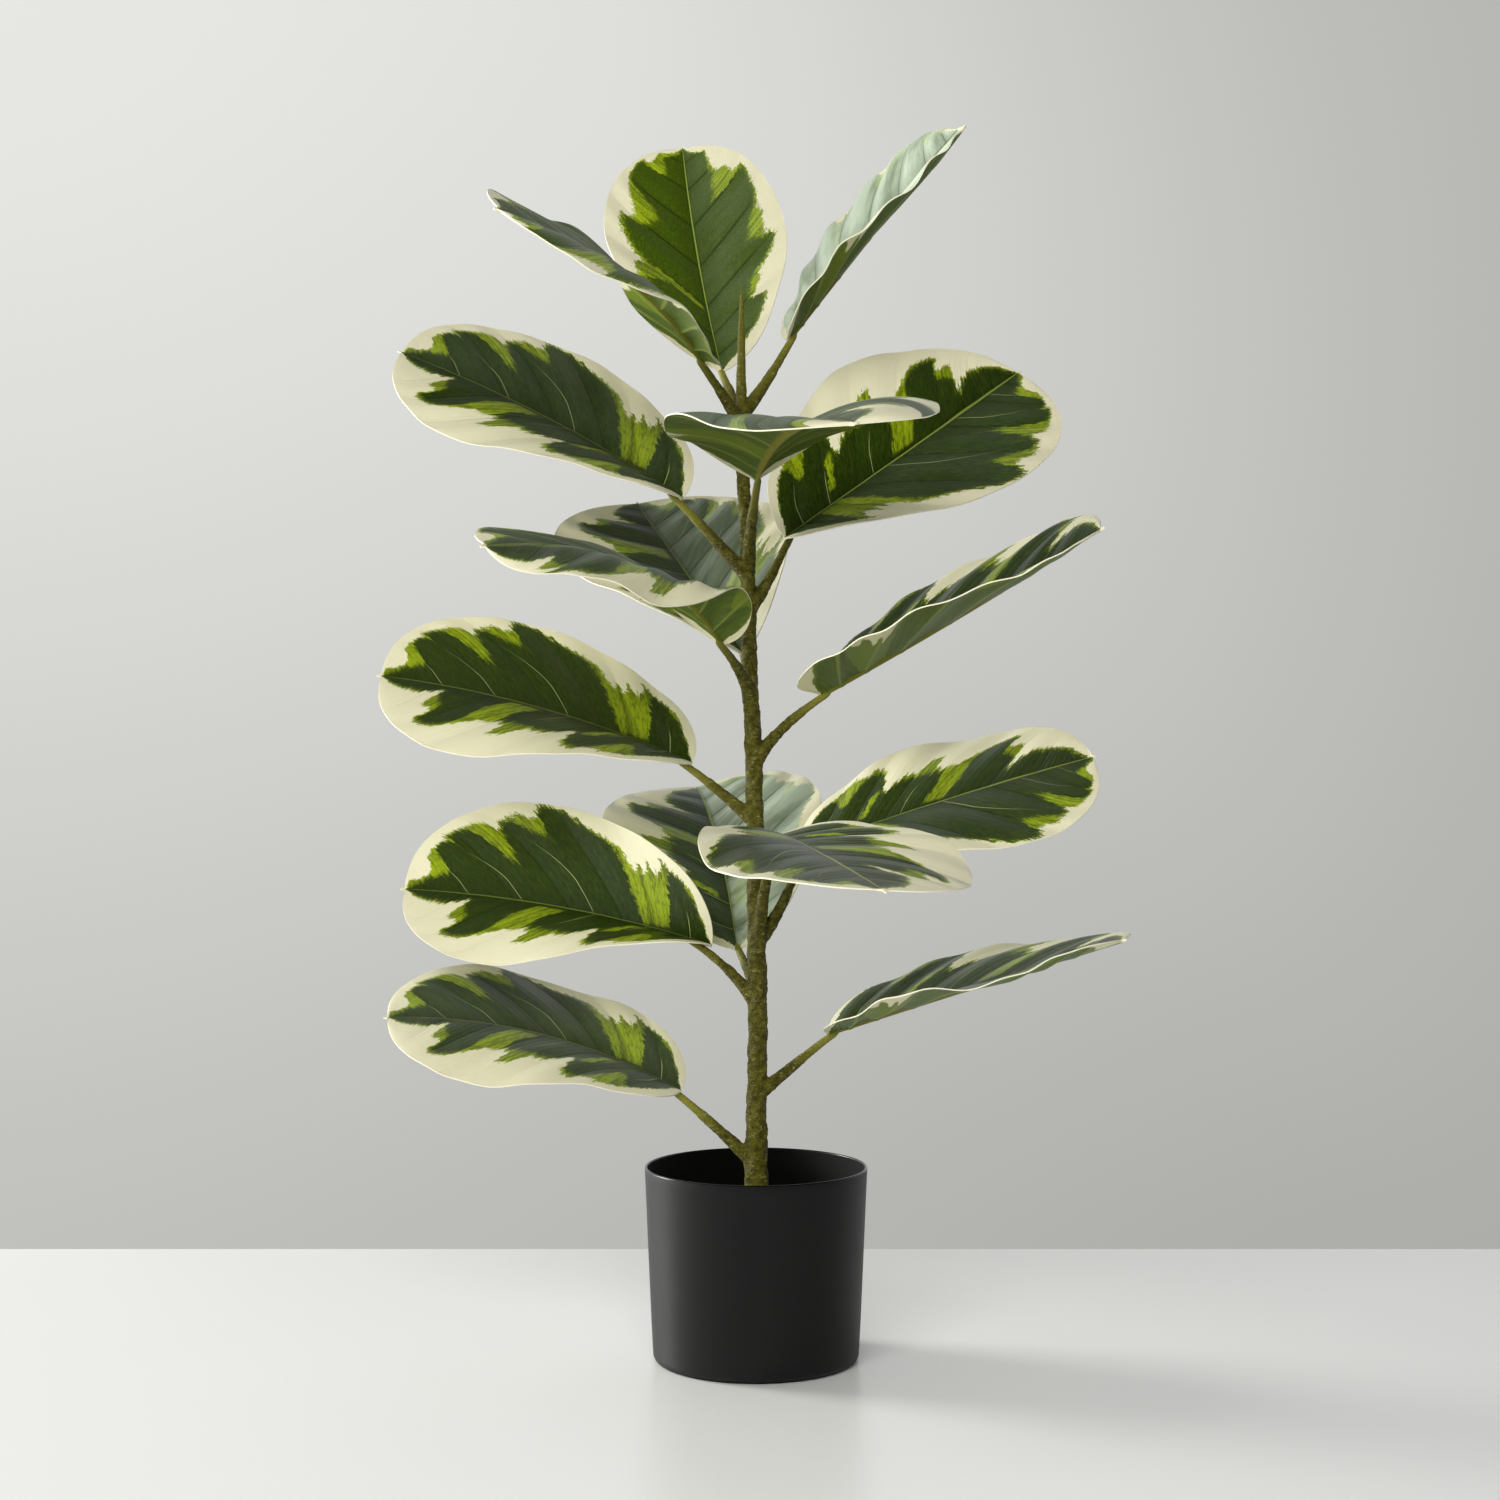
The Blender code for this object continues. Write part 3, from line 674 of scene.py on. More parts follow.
@dataclass(frozen=True)
class Flecks:
    """Noises that the colours and the relief of a blade share."""

    streaks: Socket
    hairs: Socket
    blots: Socket
    grain: Socket


@dataclass(frozen=True)
class BladeFinish:
    """Printed face of a blade: dark green and lime with a ragged cream margin, streaked along the veins.
    Shade
    and a sheen are painted on it too: painted shade in the grooves over the side veins and beside the rib,
    and on some halves a pale grey-blue painted sheen, a painted reflection.

    Scales are along and across the blade. fringe is how ragged the edges are, dark_fringe how much more so
    the dark green's is, stipple and lime_stipple how grained they are, and lime_rim the lime left outside.
    groove is how dark the painted shade in the grooves is, and haze is the tone of the painted sheen.
    """

    pattern: Pattern
    dark: Tone = (0.018, 0.034, 0.0022)
    mid: Tone = (0.050, 0.082, 0.004)
    lime: Tone = (0.262, 0.345, 0.006)
    cream: Tone = (0.715, 0.682, 0.486)
    cream_shade: Tone = (0.93, 0.94, 0.80)
    vein: Tone = (0.420, 0.470, 0.190)
    rib: Tone = (0.230, 0.290, 0.050)
    painted_sheen_tone: Tone = (0.500, 0.586, 0.450)
    groove: float = 0.30
    ripples: float = 6.0
    ripple_height: float = 0.22
    streak_scale: Tone = (95.0, 9.0, 1.0)
    hair_scale: Tone = (240.0, 30.0, 1.0)
    blot_scale: Tone = (60.0, 26.0, 1.0)
    grain_scale: Tone = (330.0, 120.0, 1.0)
    band_scale: Tone = (75.0, 2.5, 1.0)
    patch_scale: Tone = (13.0, 3.0, 1.0)
    blot_shift: float = 0.040
    fringe: float = 0.078
    dark_fringe: float = 1.2
    stipple: float = 0.24
    lime_stipple: float = 0.45
    lime_rim: float = 0.026
    stripe_fade: float = 0.004
    stripe_end_fade: float = 0.04
    vein_line: Pair = (0.0020, 0.0005)
    rib_line: Pair = (0.0105, 0.0055)
    relief_height: float = 0.00016
    roughness: float = 0.40

    def stripe(self, blade: BladeMap, stripe: Stripe, place: Socket) -> Socket:
        """Lime stripe inside the green.

        Args:
            blade: Nodes that read the blade's map.
            stripe: Where the stripe runs.
            place: Place along the blade, with its uneven shift.

        Returns:
            1 inside the stripe, fading over its edge.
        """
        graph, span = blade.graph, blade.span
        bowed = graph.times(span, span, stripe.bow)
        middle = graph.plus(graph.linear(span, stripe.lean, stripe.middle), bowed)
        away = graph.math("ABSOLUTE", graph.minus(place, middle))
        inside = graph.ease(away, stripe.breadth + self.stripe_fade, stripe.breadth - self.stripe_fade)
        begun = graph.ease(span, stripe.start, stripe.start + self.stripe_end_fade)
        lasting = graph.ease(span, stripe.end + self.stripe_end_fade, stripe.end - self.stripe_end_fade)
        return graph.times(inside, graph.times(begun, lasting), blade.half(stripe.right))

    def light_vein(self, blade: BladeMap, vein: LightVein) -> Socket:
        """Thin pale side vein.

        Args:
            blade: Nodes that read the blade's map.
            vein: Where the vein runs.

        Returns:
            1 on the vein, fading towards its end.
        """
        graph, span = blade.graph, blade.span
        past = graph.math("MAXIMUM", graph.minus(span, vein.bend_from), 0.0)
        bend = graph.times(graph.math("POWER", past, 1.5), vein.bend)
        middle = graph.plus(graph.linear(span, vein.lean, vein.start), bend)
        away = graph.math("ABSOLUTE", graph.minus(blade.along, middle))
        fade = graph.times(graph.ease(span, vein.end, vein.end * 0.55), graph.ease(span, 0.0, 0.02))
        return graph.times(graph.ease(away, *self.vein_line), fade, blade.half(vein.right))

    def prints(self, blade: BladeMap, flecks: Flecks) -> tuple[Socket, Socket]:
        """Where the blade is green at all, and where it is dark green.

        Args:
            blade: Nodes that read the blade's map.
            flecks: Noises of the blade.

        Returns:
            Two shares from 0 to 1, for the green and for the dark green.
        """
        graph, marks = blade.graph, self.pattern.markings()
        shift = graph.linear(flecks.blots, self.blot_shift, -0.5 * self.blot_shift)
        place = graph.plus(blade.along, shift)
        ragged = graph.plus(graph.linear(flecks.streaks, 2.0, -1.0), graph.linear(flecks.hairs, 1.4, -0.7))
        ragged = graph.times(ragged, self.fringe)
        stipple = graph.linear(flecks.grain, self.stipple, -0.5 * self.stipple)
        green = blade.reach(place, marks.green_right, marks.green_left)
        green = graph.plus(green, ragged, graph.times(stipple, self.lime_stipple))
        dark = blade.reach(place, marks.dark_right, marks.dark_left)
        dark = graph.plus(dark, graph.times(ragged, self.dark_fringe), stipple)
        dark = graph.math("MINIMUM", dark, graph.minus(green, self.lime_rim))
        green = graph.ease(graph.minus(green, blade.span), -0.012, 0.014)
        dark = graph.ease(graph.minus(dark, blade.span), -0.024, 0.026)
        for stripe in marks.stripes:
            dark = graph.times(dark, graph.minus(1.0, self.stripe(blade, stripe, place)))
        return green, dark

    def greens(self, blade: BladeMap, flecks: Flecks) -> tuple[Socket, Socket]:
        """Tones of the lime and of the dark green.

        Args:
            blade: Nodes that read the blade's map.
            flecks: Noises of the blade.

        Returns:
            Streaked lime, and dark green with its streaks, hairs and grain.
        """
        graph = blade.graph
        bands = graph.linear(blade.noise(self.band_scale), 0.55, graph.times(flecks.hairs, 0.45))
        lime = graph.mix(graph.ease(bands, 0.38, 0.60), shaded(self.lime, 0.32), self.lime)
        deep = graph.mix(graph.ease(flecks.hairs, 0.34, 0.56), shaded(self.dark, 0.5), self.dark)
        for fleck, low, high, share in (
            (flecks.streaks, 0.50, 0.80, 0.55),
            (flecks.hairs, 0.54, 0.76, 0.6),
            (flecks.grain, 0.50, 0.78, 0.5),
        ):
            deep = graph.mix(graph.times(graph.ease(fleck, low, high), share), deep, self.mid)
        return lime, deep

    def painted_sheen_share(self, blade: BladeMap, from_vein: Socket, groove: Socket) -> Socket:
        """Painted sheen: a pale grey-blue painted reflection, patchy and weaker in the grooves.

        Args:
            blade: Nodes that read the blade's map.
            from_vein: 0 on a side vein and 0.5 halfway to the next.
            groove: 1 in the groove over a side vein.

        Returns:
            Share of the painted sheen, from 0 to about 1.
        """
        graph = blade.graph
        patches = graph.ease(blade.noise(self.patch_scale, detail=3.0), 0.34, 0.58)
        between = graph.span(graph.ease(from_vein, 0.02, 0.34), 0.74, 1.04)
        painted_sheen = graph.attribute("painted_sheen")
        return graph.times(graph.span(patches, 0.50, 1.0), painted_sheen, graph.linear(groove, -0.45, 1.0), between)

    def make(self) -> bpy.types.Material:
        """Build the material.

        Returns:
            A material that reads the blade's own map and what its mesh keeps at each vertex.
        """
        graph = Graph(bpy.data.materials.new("leaf_" + self.pattern.value))
        blade = BladeMap(graph)
        span = blade.span
        flecks = Flecks(
            streaks=blade.noise(self.streak_scale, rough=0.65),
            hairs=blade.noise(self.hair_scale),
            blots=blade.noise(self.blot_scale, detail=3.0),
            grain=blade.noise(self.grain_scale),
        )
        green, dark = self.prints(blade, flecks)
        lime, deep = self.greens(blade, flecks)
        count = graph.attribute("side_vein")
        from_vein = graph.math("PINGPONG", count, 0.5)
        groove = graph.times(graph.ease(from_vein, 0.055, 0.010), graph.ease(span, 0.90, 0.50))
        # Painted shade: the dark green is darkened in the grooves over the side veins.
        deep = graph.mix(graph.times(groove, self.groove), deep, shaded(self.dark, 0.30))
        shade = tuple(channel * share for channel, share in zip(self.cream, self.cream_shade))
        pale = graph.mix(graph.times(graph.ease(flecks.blots, 0.35, 0.75), 0.35), self.cream, shade)
        colour = graph.mix(dark, graph.mix(green, pale, lime), deep)
        # Painted sheen: the pale grey-blue painted reflection is mixed over the green of the halves that
        # carry it.
        colour = graph.mix(graph.times(self.painted_sheen_share(blade, from_vein, groove), green), colour, self.painted_sheen_tone)
        height = graph.times(graph.plus(flecks.streaks, graph.times(flecks.hairs, 0.7)), 0.5)
        for vein in self.pattern.markings().veins:
            line = self.light_vein(blade, vein)
            colour = graph.mix(graph.times(line, 0.75), colour, self.vein)
            height = graph.plus(height, line)
        ripples = graph.math("SINE", graph.times(count, math.tau * self.ripples))
        ripples = graph.times(ripples, graph.ease(span, 0.95, 0.60))
        height = graph.minus(graph.linear(ripples, self.ripple_height, height), groove)
        # Painted shade: darker in a narrow band along the rib and more faintly out to a third of the half
        # breadth.
        painted_rib_shade = graph.times(graph.ease(span, 0.045, 0.008), 0.35)
        painted_rib_shade = graph.linear(graph.ease(span, 0.30, 0.01), 0.32, painted_rib_shade)
        colour = graph.mix(graph.times(painted_rib_shade, green), colour, shaded(self.dark, 0.45))
        rib = graph.times(graph.ease(span, *self.rib_line), graph.attribute("rib_light"))
        colour = graph.mix(rib, colour, self.rib)
        normal = graph.bump(graph.times(height, graph.attribute("relief")), self.relief_height)
        rough = graph.span(flecks.hairs, self.roughness - 0.05, self.roughness + 0.07)
        return graph.finish(Base_Color=colour, Roughness=rough, Normal=normal)


@dataclass(frozen=True)
class UndersideFinish:
    """Underside of a blade: dull green inside a cream margin, with a yellow-green rib and pale side veins."""

    green: Tone = (0.085, 0.125, 0.022)
    lime: Tone = (0.160, 0.220, 0.024)
    cream: Tone = (0.760, 0.730, 0.480)
    rib: Tone = (0.200, 0.190, 0.026)
    vein: Tone = (0.260, 0.310, 0.060)
    streak_scale: Tone = (80.0, 5.0, 1.0)
    blot_scale: Tone = (30.0, 12.0, 1.0)
    blot_shift: float = 0.02
    fringe: float = 0.10
    relief_height: float = 0.00010
    roughness: float = 0.55

    def make(self) -> bpy.types.Material:
        """Build the material.

        Returns:
            A material on the blade's own map, with the markings seen through from above.
        """
        graph = Graph(bpy.data.materials.new("leaf_underside"))
        blade = BladeMap(graph)
        marks = Pattern.FEATHERED.markings()
        streaks = blade.noise(self.streak_scale)
        blots = blade.noise(self.blot_scale, rough=0.55)
        place = graph.plus(blade.along, graph.linear(blots, self.blot_shift, -0.5 * self.blot_shift))
        ragged = graph.linear(streaks, self.fringe, -0.5 * self.fringe)
        green = graph.plus(blade.reach(place, marks.green_right, marks.green_left), ragged)
        dark = graph.plus(blade.reach(place, marks.dark_right, marks.dark_left), ragged)
        green = graph.ease(graph.minus(green, blade.span), -0.02, 0.03)
        dark = graph.ease(graph.minus(dark, blade.span), -0.04, 0.04)
        tone = graph.mix(graph.ease(streaks, 0.35, 0.75), self.green, shaded(self.green, 1.35))
        colour = graph.mix(dark, graph.mix(green, self.cream, self.lime), tone)
        vein = graph.ease(graph.math("PINGPONG", graph.attribute("side_vein"), 0.5), 0.070, 0.020)
        colour = graph.mix(graph.times(vein, green, 0.7), colour, self.vein)
        colour = graph.mix(graph.ease(blade.span, 0.05, 0.02), colour, self.rib)
        normal = graph.bump(graph.times(streaks, graph.attribute("relief")), self.relief_height)
        return graph.finish(
            Base_Color=colour, Roughness=self.roughness, Normal=normal, Specular_IOR_Level=0.15
        )


@dataclass(frozen=True)
class CutEdgeFinish:
    """Cut edge of a blade, paler than its faces."""

    tone: Tone = (0.80, 0.77, 0.58)
    uneven_scale: float = 900.0
    roughness: float = 0.55

    def make(self) -> bpy.types.Material:
        """Build the material.

        Returns:
            A slightly uneven material on object coordinates.
        """
        graph = Graph(bpy.data.materials.new("leaf_edge"))
        uneven = graph.noise(graph.object_place(), self.uneven_scale)
        colour = graph.mix(uneven, shaded(self.tone, 0.9), self.tone)
        return graph.finish(Base_Color=colour, Roughness=self.roughness)


@dataclass(frozen=True)
class BarkFinish:
    """Olive bark with darker mottling, painted shade in the recesses of its relief and painted highlights on
    its raised tops, turning smooth and yellow-green on the stalks.
    """

    bark: Tone = (0.108, 0.099, 0.013)
    mottle_and_hollow_shade: Tone = (0.048, 0.044, 0.005)
    crest_highlight: Tone = (0.330, 0.315, 0.110)
    green: Tone = (0.215, 0.207, 0.030)
    mottle_scale: float = 210.0
    scale_scale: float = 480.0
    grain_scale: float = 1500.0
    relief_height: float = 0.0018
    young_relief: float = 0.22
    roughness: float = 0.72
    young_roughness: float = 0.52

    def make(self) -> bpy.types.Material:
        """Build the material.

        Returns:
            A material on object coordinates and on the relief and youth kept with the mesh.
        """
        graph = Graph(bpy.data.materials.new("bark"))
        place = graph.object_place()
        mottle = graph.noise(graph.scaled(place, (1.0, 1.0, 1.3)), self.mottle_scale, 4.0, 0.6)
        scales = graph.noise(graph.scaled(place, (1.0, 1.0, 1.8)), self.scale_scale, 3.0, 0.6)
        grain = graph.noise(place, self.grain_scale, 2.0, 0.6)
        youth = graph.attribute("youth")
        colour = graph.mix(graph.ease(mottle, 0.34, 0.62), self.mottle_and_hollow_shade, self.bark)
        # Painted shade: the recesses between the scales, where the bump is low, are darkened.
        colour = graph.mix(graph.times(graph.ease(scales, 0.44, 0.30), 0.7), colour, self.mottle_and_hollow_shade)
        # Painted highlight: the raised tops of the relief and the scales are lit in a pale tone.
        crumbs = graph.linear(graph.attribute("relief"), 0.35, graph.times(scales, 0.65))
        colour = graph.mix(graph.times(graph.ease(crumbs, 0.54, 0.72), 0.75), colour, self.crest_highlight)
        young = graph.mix(graph.times(mottle, 0.5), self.green, self.bark)
        colour = graph.mix(youth, colour, young)
        height = graph.plus(scales, graph.times(grain, 0.35))
        normal = graph.bump(height, self.relief_height, graph.span(youth, 1.0, self.young_relief))
        rough = graph.span(youth, self.roughness, self.young_roughness)
        return graph.finish(Base_Color=colour, Roughness=rough, Normal=normal, Specular_IOR_Level=0.3)


@dataclass(frozen=True)
class PotFinish:
    """Satin charcoal moulding with a very fine surface, duller inside and glossier on the lip."""

    tone: Tone = (0.0028, 0.0027, 0.0030)
    roughness: float = 0.54
    inside_roughness: float = 0.94
    lip_roughness: float = 0.20
    foot_radius: float = 0.0647
    taper: float = 0.0436
    lip_height: float = 0.1203
    cloud_scale: float = 22.0
    grain_scale: float = 2600.0
    relief_height: float = 0.00004

    def make(self) -> bpy.types.Material:
        """Build the material.

        Returns:
            A material on object coordinates.
        """
        graph = Graph(bpy.data.materials.new("pot"))
        place = graph.object_place()
        cloud = graph.noise(place, self.cloud_scale, 3.0)
        grain = graph.noise(place, self.grain_scale)
        colour = graph.mix(cloud, shaded(self.tone, 0.92), shaded(self.tone, 1.10))
        uneven = graph.linear(grain, 0.4, graph.times(cloud, 0.6))
        rough = graph.span(uneven, self.roughness - 0.05, self.roughness + 0.06)
        split = graph.node("SeparateXYZ", {0: place}).outputs
        flat = graph.node("CombineXYZ", {0: split[0], 1: split[1]}).outputs[0]
        radius = graph.node("VectorMath", {0: flat}, operation="LENGTH").outputs["Value"]
        within = graph.minus(graph.linear(split[2], self.taper, self.foot_radius), radius)
        inside = graph.ease(within, 0.0009, 0.0015)
        rough = graph.linear(inside, self.inside_roughness - self.roughness, rough)
        lip = graph.ease(split[2], self.lip_height, self.lip_height + 0.0007)
        rough = graph.linear(lip, graph.minus(self.lip_roughness, rough), rough)
        normal = graph.bump(grain, self.relief_height)
        return graph.finish(Base_Color=colour, Roughness=rough, Normal=normal, Specular_IOR_Level=0.33)


@dataclass(frozen=True)
class SoilFinish:
    """Dark, damp growing medium."""

    dark: Tone = (0.007, 0.005, 0.004)
    light: Tone = (0.045, 0.032, 0.020)
    crumb_scale: float = 420.0
    speck_scale: float = 620.0
    relief_height: float = 0.0012
    roughness: float = 0.93

    def make(self) -> bpy.types.Material:
        """Build the material.

        Returns:
            A crumbly material on object coordinates.
        """
        graph = Graph(bpy.data.materials.new("soil"))
        place = graph.object_place()
        crumbs = graph.noise(place, self.crumb_scale, 5.0, 0.7)
        specks = graph.node("TexVoronoi", {"Vector": place, "Scale": self.speck_scale}).outputs["Distance"]
        colour = graph.mix(graph.ease(crumbs, 0.35, 0.72), self.dark, self.light)
        colour = graph.mix(graph.ease(specks, 0.5, 0.1), self.dark, colour)
        normal = graph.bump(graph.minus(crumbs, graph.times(specks, 0.5)), self.relief_height)
        return graph.finish(Base_Color=colour, Roughness=self.roughness, Normal=normal)


@dataclass(frozen=True)
class FloorFinish:
    """Plain pale table top with a soft gloss."""

    tone: Tone = (0.825, 0.825, 0.813)
    cloud_scale: float = 3.0
    roughness: float = 0.32

    def make(self) -> bpy.types.Material:
        """Build the material.

        Returns:
            A material with the faintest clouding, on object coordinates.
        """
        graph = Graph(bpy.data.materials.new("floor"))
        cloud = graph.noise(graph.object_place(), self.cloud_scale, 3.0)
        colour = graph.mix(cloud, self.tone, shaded(self.tone, 0.96))
        return graph.finish(Base_Color=colour, Roughness=self.roughness)


# Shared building


def smooth(value: float) -> float:
    """Ease from 0 to 1."""
    value = max(0.0, min(1.0, value))
    return value * value * (3.0 - 2.0 * value)


def piece(name: str, source: bmesh.types.BMesh) -> bpy.types.Object:
    """Turn a bmesh into an object at the origin, with smooth shading.

    Args:
        name: Name of the object and its mesh.
        source: Bmesh, which is freed.

    Returns:
        The new object.
    """
    mesh = bpy.data.meshes.new(name)
    source.to_mesh(mesh)
    source.free()
    mesh.shade_smooth()
    new = bpy.data.objects.new(name, mesh)
    bpy.context.scene.collection.objects.link(new)
    return new


def made_final(source: bpy.types.Object) -> bpy.types.Mesh:
    """Apply an object's modifiers, which are then taken off.

    Args:
        source: Object with live modifiers.

    Returns:
        A new mesh, which isn't yet the object's.
    """
    graph = bpy.context.evaluated_depsgraph_get()
    mesh = bpy.data.meshes.new_from_object(source.evaluated_get(graph))
    source.modifiers.clear()
    return mesh


def arc(centre: Pair, radius: float, start: float, end: float, count: int) -> list[Pair]:
    """Points of a round corner in a turned profile.

    Args:
        centre: Radius and height of the arc's centre.
        radius: Radius of the arc.
        start: First angle in degrees, from outwards towards up.
        end: Last angle.
        count: Number of steps.

    Returns:
        Radius and height of each point.
    """
    points = []
    for index in range(count + 1):
        angle = math.radians(start + (end - start) * index / count)
        points.append((centre[0] + radius * math.cos(angle), centre[1] + radius * math.sin(angle)))
    return points


def turned(profile: Sequence[Pair], steps: int) -> bmesh.types.BMesh:
    """Closed solid turned about Z.

    Args:
        profile: Radius and height of points that start and end on the axis.
        steps: Number of sides.

    Returns:
        The solid, its doubles merged and its faces pointing outwards.
    """
    solid = bmesh.new()
    line = [solid.verts.new((radius, 0.0, height)) for radius, height in profile]
    edges = [solid.edges.new(pair) for pair in zip(line, line[1:])]
    turn = {"cent": (0, 0, 0), "axis": (0, 0, 1), "angle": math.tau, "steps": steps, "use_merge": True}
    bmesh.ops.spin(solid, geom=line + edges, **turn)
    bmesh.ops.remove_doubles(solid, verts=solid.verts, dist=0.00001)
    bmesh.ops.recalc_face_normals(solid, faces=solid.faces)
    return solid


# Blades


@dataclass(frozen=True)
class BladeForm:
    """Shape shared by all blades: outline, section, veins and how finely they are laid out.

    outline_base to waist_length began from a least-squares fit, worked out by another program, and were
    rounded by hand.
    vein_lead and vein_bend are how far a side vein runs on towards the tip and how it bends, each with its
    loss along the blade. print_upright is how much squarer the markings stand at the base, and how far up.
    fill_from and fill_over are where the markings near the tip are filled, and fill_span how far out.
    """

    outline_base: float = 0.50
    outline_tip: float = 0.40
    waist_depth: float = 0.10
    waist_place: float = 0.20
    waist_length: float = 0.20
    neck_half_width: float = 0.0018
    tip_half_width: float = 0.0012
    lobe_place: float = 0.018
    thickness: float = 0.0008
    rib_thickness: float = 0.0028
    rib_tip_thickness: float = 0.0012
    rib_spread: float = 0.0013
    rib_blend: float = 0.003
    pleat_height: float = 0.0007
    groove_depth: float = 0.00035
    groove_width: float = 0.0075
    nib: float = 0.013
    nib_half_width: float = 0.0005
    vein_relief: float = 0.00040
    vein_fade: float = 0.3
    row_lead: float = 0.72
    row_bend: float = 1.4
    veins: tuple[float, ...] = (0.075, 0.165, 0.290, 0.465, 0.640, 0.800, 0.920)
    end_fade: float = 0.08
    tip_end: float = 0.985
    tip_calm: float = 0.20
    tip_power: float = 1.5
    waves_per_margin: float = 1.6
    rows: int = 190
    columns: int = 52
    column_power: float = 0.82
    nib_rows: int = 5
    end_crowding: float = 0.92
    midrib_steps: int = 240
    halvings: int = 26
    vein_lead: Pair = (1.75, 0.85)
    vein_bend: Pair = (1.4, 0.7)
    print_upright: Pair = (0.8, 0.25)
    fill_from: float = 0.60
    fill_over: float = 0.15
    fill_span: float = 0.35

    def half_width(self, share: np.ndarray) -> np.ndarray:
        """Half of the blade's breadth.

        Args:
            share: Places along the body.

        Returns:
            Shares of the greatest half breadth.
        """
        share = np.clip(share, 0.0, 1.0)
        peak = self.outline_base / (self.outline_base + self.outline_tip)
        greatest = peak**self.outline_base * (1.0 - peak) ** self.outline_tip
        outline = share**self.outline_base * (1.0 - share) ** self.outline_tip / greatest
        waist = np.exp(-(((share - self.waist_place) / self.waist_length) ** 2))
        return outline * (1.0 - self.waist_depth * waist)

    def grid(self) -> tuple[np.ndarray, np.ndarray]:
        """Rows and columns of the blade, with rows for the nib alone.

        Returns:
            Row and side coordinates, closer at the ends, the rib and the margins.
        """
        step = np.linspace(0.0, 1.0, self.rows - self.nib_rows + 1)
        rows = (1.0 - self.end_crowding) * step + self.end_crowding * 0.5 * (1.0 - np.cos(math.pi * step))
        rows = np.append(rows * (1.0 - self.nib), np.linspace(1.0 - self.nib, 1.0, self.nib_rows + 1)[1:])
        side = np.linspace(-1.0, 1.0, self.columns + 1)
        sides = np.sign(side) * 0.5 * (1.0 - np.cos(math.pi * np.abs(side) ** self.column_power))
        sides, rows = np.meshgrid(sides, rows)
        return rows, sides

    def share_along(self, rows: np.ndarray, sides: np.ndarray) -> np.ndarray:
        """Share of the midrib that lies level with a point, since rows run on towards the tip."""
        body = np.clip(rows / (1.0 - self.nib), 0.0, 1.0)
        return rows + (1.0 - self.nib) * self.row_lead * body * (1.0 - body) * np.abs(sides) ** self.row_bend

    def vein_start(self, share: np.ndarray, sides: np.ndarray, upright_base: bool) -> np.ndarray:
        """Where the vein through a point leaves the rib.

        Args:
            share: Share of the midrib level with the point.
            sides: Side coordinate from -1 to 1.
            upright_base: True for the markings, which stand squarer to the rib near the base.

        Returns:
            Share of the midrib at the start of the vein, found by halving.
        """
        (lead_base, lead_loss), (bend_base, bend_loss) = self.vein_lead, self.vein_bend
        squarer, squarer_to = self.print_upright
        low, high = np.zeros_like(share), np.ones_like(share)
        for _ in range(self.halvings):
            start = 0.5 * (low + high)
            lead = start * (1.0 - start) * (lead_base - lead_loss * start)
            if upright_base:
                lead = lead * (1.0 - squarer * np.exp(-((start / squarer_to) ** 2)))
            short = start + lead * np.abs(sides) ** (bend_base - bend_loss * start) < share
            low, high = np.where(short, start, low), np.where(short, high, start)
        return 0.5 * (low + high)

    def vein_count(self, start: np.ndarray) -> np.ndarray:
        """Number of side veins passed, whole on a vein and halfway between whole numbers between two."""
        stations = (0.0,) + self.veins + (1.0,)
        return np.interp(start, stations, np.arange(len(stations)))

    def pleats(self, start: np.ndarray, share: np.ndarray) -> np.ndarray:
        """Height of the pleats, from -0.5 on a side vein to 0.5 between two, and 0 at the ends."""
        fade = np.clip(start / self.end_fade, 0.0, 1.0) * self.tip_fade(share)
        return -0.5 * np.cos(math.tau * self.vein_count(start)) * fade

    def tip_fade(self, share: np.ndarray) -> np.ndarray:
        """1 over most of the blade, falling to 0 at the tip, where the veins crowd together."""
        return np.clip((self.tip_end - share) / self.tip_calm, 0.0, 1.0) ** self.tip_power

    def near_vein(self, start: np.ndarray) -> np.ndarray:
        """1 on a side vein, falling away beside it."""
        nearest = np.min(np.abs(start[..., None] - np.array(self.veins)), axis=-1)
        return np.exp(-((nearest / self.groove_width) ** 2))


def unit(heading: np.ndarray, rise: np.ndarray) -> np.ndarray:
    """Unit directions from headings and rises in radians."""
    return np.stack((np.cos(rise) * np.cos(heading), np.cos(rise) * np.sin(heading), np.sin(rise)), axis=-1)


